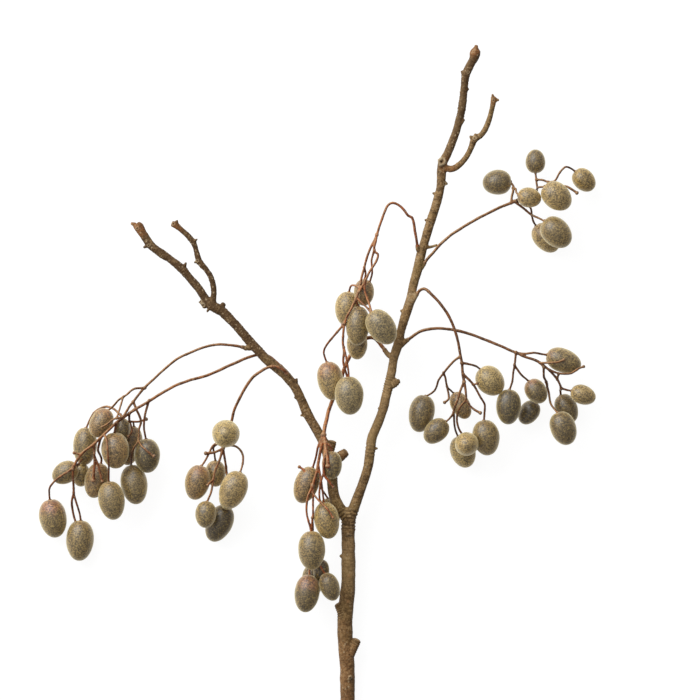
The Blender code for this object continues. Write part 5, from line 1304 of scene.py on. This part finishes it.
class BarkSettings(bpy.types.PropertyGroup):
    """What the bark is like."""

    fineness: FloatProperty(
        name="Fineness", description="How far apart the points of the bark's skin are", default=0.00059,
        min=0.0003, subtype="DISTANCE", unit="LENGTH", precision=5,
    )
    relief: FloatProperty(
        name="Relief", description="How strongly wrinkles, cracks and warts stand out", default=1.0, min=0.0,
        max=2.0, subtype="FACTOR",
    )
    dark_bark: colour_property("Dark bark", "Colour in the bark's cracks", (0.058, 0.030, 0.011))
    mid_bark: colour_property("Bark", "Main colour of the bark", (0.215, 0.122, 0.048))
    pale_bark: colour_property("Pale bark", "Colour of the worn, pale bark", (0.385, 0.250, 0.118))
    green_bark: colour_property("Green bark", "Olive tinge of the bark", (0.190, 0.130, 0.042))
    old_bark: colour_property(
        "Dark stretches", "Colour of the darker stretches of bark", (0.062, 0.030, 0.012),
    )
    red_bark: colour_property("Young bark", "Red-brown of the tips and cut stubs", (0.280, 0.105, 0.034))
    fleck: colour_property("Flecks", "Colour of the small pale flecks", (0.400, 0.300, 0.180))
    scar: colour_property("Scars", "Colour of leaf scars", (0.450, 0.355, 0.225))
    cut_wood: colour_property("Cut wood", "Colour of the cut ends", (0.230, 0.135, 0.060))


class StalkSettings(bpy.types.PropertyGroup):
    """What the stalks are like."""

    fineness: FloatProperty(
        name="Fineness", description="How far apart the points of the stalks' skin are", default=0.00036,
        min=0.0002, subtype="DISTANCE", unit="LENGTH", precision=5,
    )
    dark_stalk: colour_property("Dark stalk", "Dark colour of the plain stalks", (0.050, 0.016, 0.005))
    pale_stalk: colour_property("Stalk", "Main colour of the plain stalks", (0.150, 0.058, 0.020))
    red_stalk: colour_property("Red stalk", "Dark colour of the warm stalks", (0.090, 0.017, 0.005))
    orange_stalk: colour_property("Orange stalk", "Main colour of the warm stalks", (0.350, 0.085, 0.022))
    stalk_fleck: colour_property("Flecks", "Colour of the stalks' pale flecks", (0.420, 0.300, 0.180))
    # Painted light: the tan painted on the side of the stalks that faces the key light.
    painted_lit_stalk: colour_property("Weathered side", "Tan of the stalks' weathered side", (0.430, 0.240, 0.100))
    joint: colour_property("Joints", "Colour of the swollen joints", (0.330, 0.215, 0.120))


class FruitSettings(bpy.types.PropertyGroup):
    """What the fruits are like."""

    sides: IntProperty(name="Sides", description="Faces round each fruit", default=40, min=12, max=96)
    rings: IntProperty(
        name="Rings", description="Faces from each fruit's stalk to its tip", default=30, min=8, max=64,
    )
    shade: colour_property("Shade", "Darker patches of the skin", (0.110, 0.070, 0.028))
    # Painted sheen: the darker, greyer top of each fruit, which with its yellower flanks stands in for the
    # down's bright edge.
    painted_sheen_top: colour_property("Bloom", "Greyer skin on top of a fruit", (0.082, 0.064, 0.028))
    # Yellow is both the skin's real yellow specks and the painted sheen on each fruit's flanks.
    yellow: colour_property("Yellow", "Pale, yellow specks of the skin", (0.430, 0.300, 0.078))
    flush: colour_property("Flush", "Red-brown at the stalk", (0.250, 0.095, 0.048))
    pit: colour_property("Pits", "Dark specks of the skin", (0.055, 0.038, 0.016))
    seat: colour_property("Seat", "Colour round the stalk", (0.300, 0.190, 0.090))
    down: colour_property("Down", "Colour of the down seen at the edge", (1.000, 0.870, 0.540))


class StageSettings(bpy.types.PropertyGroup):
    """The floor and the light."""

    floor_side: FloatProperty(
        name="Floor", description="Side of the square floor", default=14.0, min=1.0, subtype="DISTANCE",
        unit="LENGTH",
    )
    floor_colour: colour_property("Floor colour", "Colour of the floor", (0.12, 0.12, 0.12))
    floor_glow: FloatProperty(
        name="Floor glow", description="Light from the floor itself", default=0.91, min=0.0,
    )
    key_power: FloatProperty(
        name="Key light", description="Strength of the soft light from the upper left", default=30.0, min=0.0,
        subtype="POWER", unit="POWER",
    )
    sky: FloatProperty(
        name="Fill", description="Strength of the light all round", default=0.50, min=0.0,
    )
    bounce: FloatProperty(
        name="Bounce", description="Extra fill from below, off the table", default=1.2, min=0.0,
    )


class BRANCH_OT_bark(bpy.types.Operator):
    """Build the bark of the stem, the leaders, the twigs and their stubs"""

    bl_idname = "branch.make_bark"
    bl_label = "Bark"
    bl_options = {"REGISTER", "UNDO"}

    def execute(self, context):
        look = context.scene.branch_bark
        piece, routes = bark_form(look.fineness)
        bark_relief(piece, routes, look.relief)
        dress(piece, bark_finish(look), "bark", "branch_wood")
        return {"FINISHED"}


class BRANCH_OT_stalks(bpy.types.Operator):
    """Build the stalks of every spray"""

    bl_idname = "branch.make_stalks"
    bl_label = "Stalks"
    bl_options = {"REGISTER", "UNDO"}

    def execute(self, context):
        look = context.scene.branch_stalks
        for seed, (name, spray) in enumerate(SPRAYS.items(), 1):
            label = name.replace("spray_", "")
            piece, routes = stalk_form("stalks_" + label, spray, look.fineness, seed)
            stalk_relief(piece, routes)
            finish = stalk_finish(look, "stalk_" + label, spray["warmth"])
            dress(piece, finish, "stalk_skin", name)
        return {"FINISHED"}


class BRANCH_OT_fruits(bpy.types.Operator):
    """Build the downy fruits of every spray"""

    bl_idname = "branch.make_fruits"
    bl_label = "Fruits"
    bl_options = {"REGISTER", "UNDO"}

    def execute(self, context):
        look = context.scene.branch_fruits
        finish = fruit_finish(look)
        for name, spray in SPRAYS.items():
            label = name.replace("spray_", "fruits_")
            piece = fruit_form(label, spray["fruits"], look.sides, look.rings)
            dress(piece, finish, "fruit_skin", name)
        return {"FINISHED"}


class BRANCH_OT_stage(bpy.types.Operator):
    """Set the camera over the branch, the pale floor and the soft light"""

    bl_idname = "branch.set_stage"
    bl_label = "Floor, light and camera"
    bl_options = {"REGISTER", "UNDO"}

    def execute(self, context):
        stage = context.scene.branch_stage
        set_camera(context.scene)
        set_floor(stage)
        set_sky(context.scene, stage)
        set_key(context.scene, stage)
        return {"FINISHED"}


class BRANCH_PT_panel(bpy.types.Panel):
    """The branch's pieces, and what can be changed on them"""

    bl_idname = "BRANCH_PT_panel"
    bl_label = "Fruiting Branch"
    bl_space_type = "VIEW_3D"
    bl_region_type = "UI"
    bl_category = "Branch"

    def draw(self, context):
        for operator, settings in PANEL_ROWS:
            box = self.layout.box()
            box.operator(operator.bl_idname)
            group = getattr(context.scene, settings)
            for name in group.__annotations__:
                box.prop(group, name)


SETTINGS = {
    "branch_bark": BarkSettings,
    "branch_stalks": StalkSettings,
    "branch_fruits": FruitSettings,
    "branch_stage": StageSettings,
}
PANEL_ROWS = [
    (BRANCH_OT_bark, "branch_bark"),
    (BRANCH_OT_stalks, "branch_stalks"),
    (BRANCH_OT_fruits, "branch_fruits"),
    (BRANCH_OT_stage, "branch_stage"),
]
CLASSES = [*SETTINGS.values(), *(operator for operator, _ in PANEL_ROWS), BRANCH_PT_panel]


def set_camera(scene):
    """A camera straight above, which frames what the photograph frames."""
    middle = PHOTO_SIDE / 2
    x = (middle - FORK_PIXEL[0]) * PIXEL + FORK.x
    y = (FORK_PIXEL[1] - middle) * PIXEL + FORK.y
    lens = bpy.data.cameras.new("camera")
    lens.sensor_width = SENSOR
    lens.lens = SENSOR * CAMERA_HEIGHT / (PHOTO_SIDE * PIXEL * MM)
    camera = bpy.data.objects.new("camera", lens)
    camera.location = (x * MM, y * MM, CAMERA_HEIGHT + BRANCH_MIDDLE)
    scene.collection.objects.link(camera)
    scene.camera = camera


def set_floor(stage):
    """A wide, pale, matt floor that glows like a light table, so it shows hardly any shadow."""
    form = bmesh.new()
    bmesh.ops.create_grid(form, x_segments=1, y_segments=1, size=stage.floor_side / 2)
    floor = new_piece("floor", form)
    finish = Finish("floor")
    finish.set(
        Base_Color=(*stage.floor_colour, 1.0), Roughness=0.9, Emission_Color=WHITE,
        Emission_Strength=stage.floor_glow,
    )
    floor.visible_diffuse = False
    floor.visible_glossy = False
    floor.data.materials.append(finish.material)


def set_sky(scene, stage):
    """A sky that is brighter to the upper left, with the bounce of the pale table below."""
    world = bpy.data.worlds.new("studio")
    world.use_nodes = True
    sky = Nodes(world.node_tree)
    way = sky.node("ShaderNodeTexCoord", output="Generated")
    lean = sky.node(
        "ShaderNodeVectorMath", {"operation": "DOT_PRODUCT"}, {0: way, 1: SKY_LEAN}, output="Value",
    )
    farthest, nearest = SKY_SPREAD
    dimmest, brightest = SKY_LEVELS
    strength = sky.node("ShaderNodeMapRange", {"interpolation_type": "SMOOTHSTEP"}, {
        "Value": lean, "From Min": farthest, "From Max": nearest,
        "To Min": stage.sky * dimmest, "To Max": stage.sky * brightest,
    })
    height = sky.node("ShaderNodeSeparateXYZ", {}, {"Vector": way}, output="Z")
    strength = strength + height.step(*BOUNCE_SPREAD) * (stage.sky * stage.bounce)
    background = world.node_tree.nodes["Background"].inputs
    sky.feed(background["Color"], WHITE)
    sky.feed(background["Strength"], strength)
    scene.world = world
    scene.view_settings.view_transform = "Standard"


def set_key(scene, stage):
    """A square soft light to the upper left that points at the branch."""
    lamp = bpy.data.lights.new("key", "AREA")
    lamp.shape = "SQUARE"
    lamp.size = KEY_SIDE
    lamp.energy = stage.key_power
    lamp.color = KEY_COLOUR
    light = bpy.data.objects.new("key", lamp)
    light.location = KEY_PLACE
    light.rotation_euler = (-Vector(KEY_PLACE)).to_track_quat("-Z", "Y").to_euler()
    light.visible_camera = False
    scene.collection.objects.link(light)


def register():
    for part in CLASSES:
        bpy.utils.register_class(part)
    for name, group in SETTINGS.items():
        setattr(bpy.types.Scene, name, PointerProperty(type=group))


def unregister():
    for name in SETTINGS:
        delattr(bpy.types.Scene, name)
    for part in reversed(CLASSES):
        bpy.utils.unregister_class(part)


def main():
    register()
    bpy.ops.branch.set_stage()
    bpy.ops.branch.make_bark()
    bpy.ops.branch.make_stalks()
    bpy.ops.branch.make_fruits()


if __name__ == "__main__":
    main()
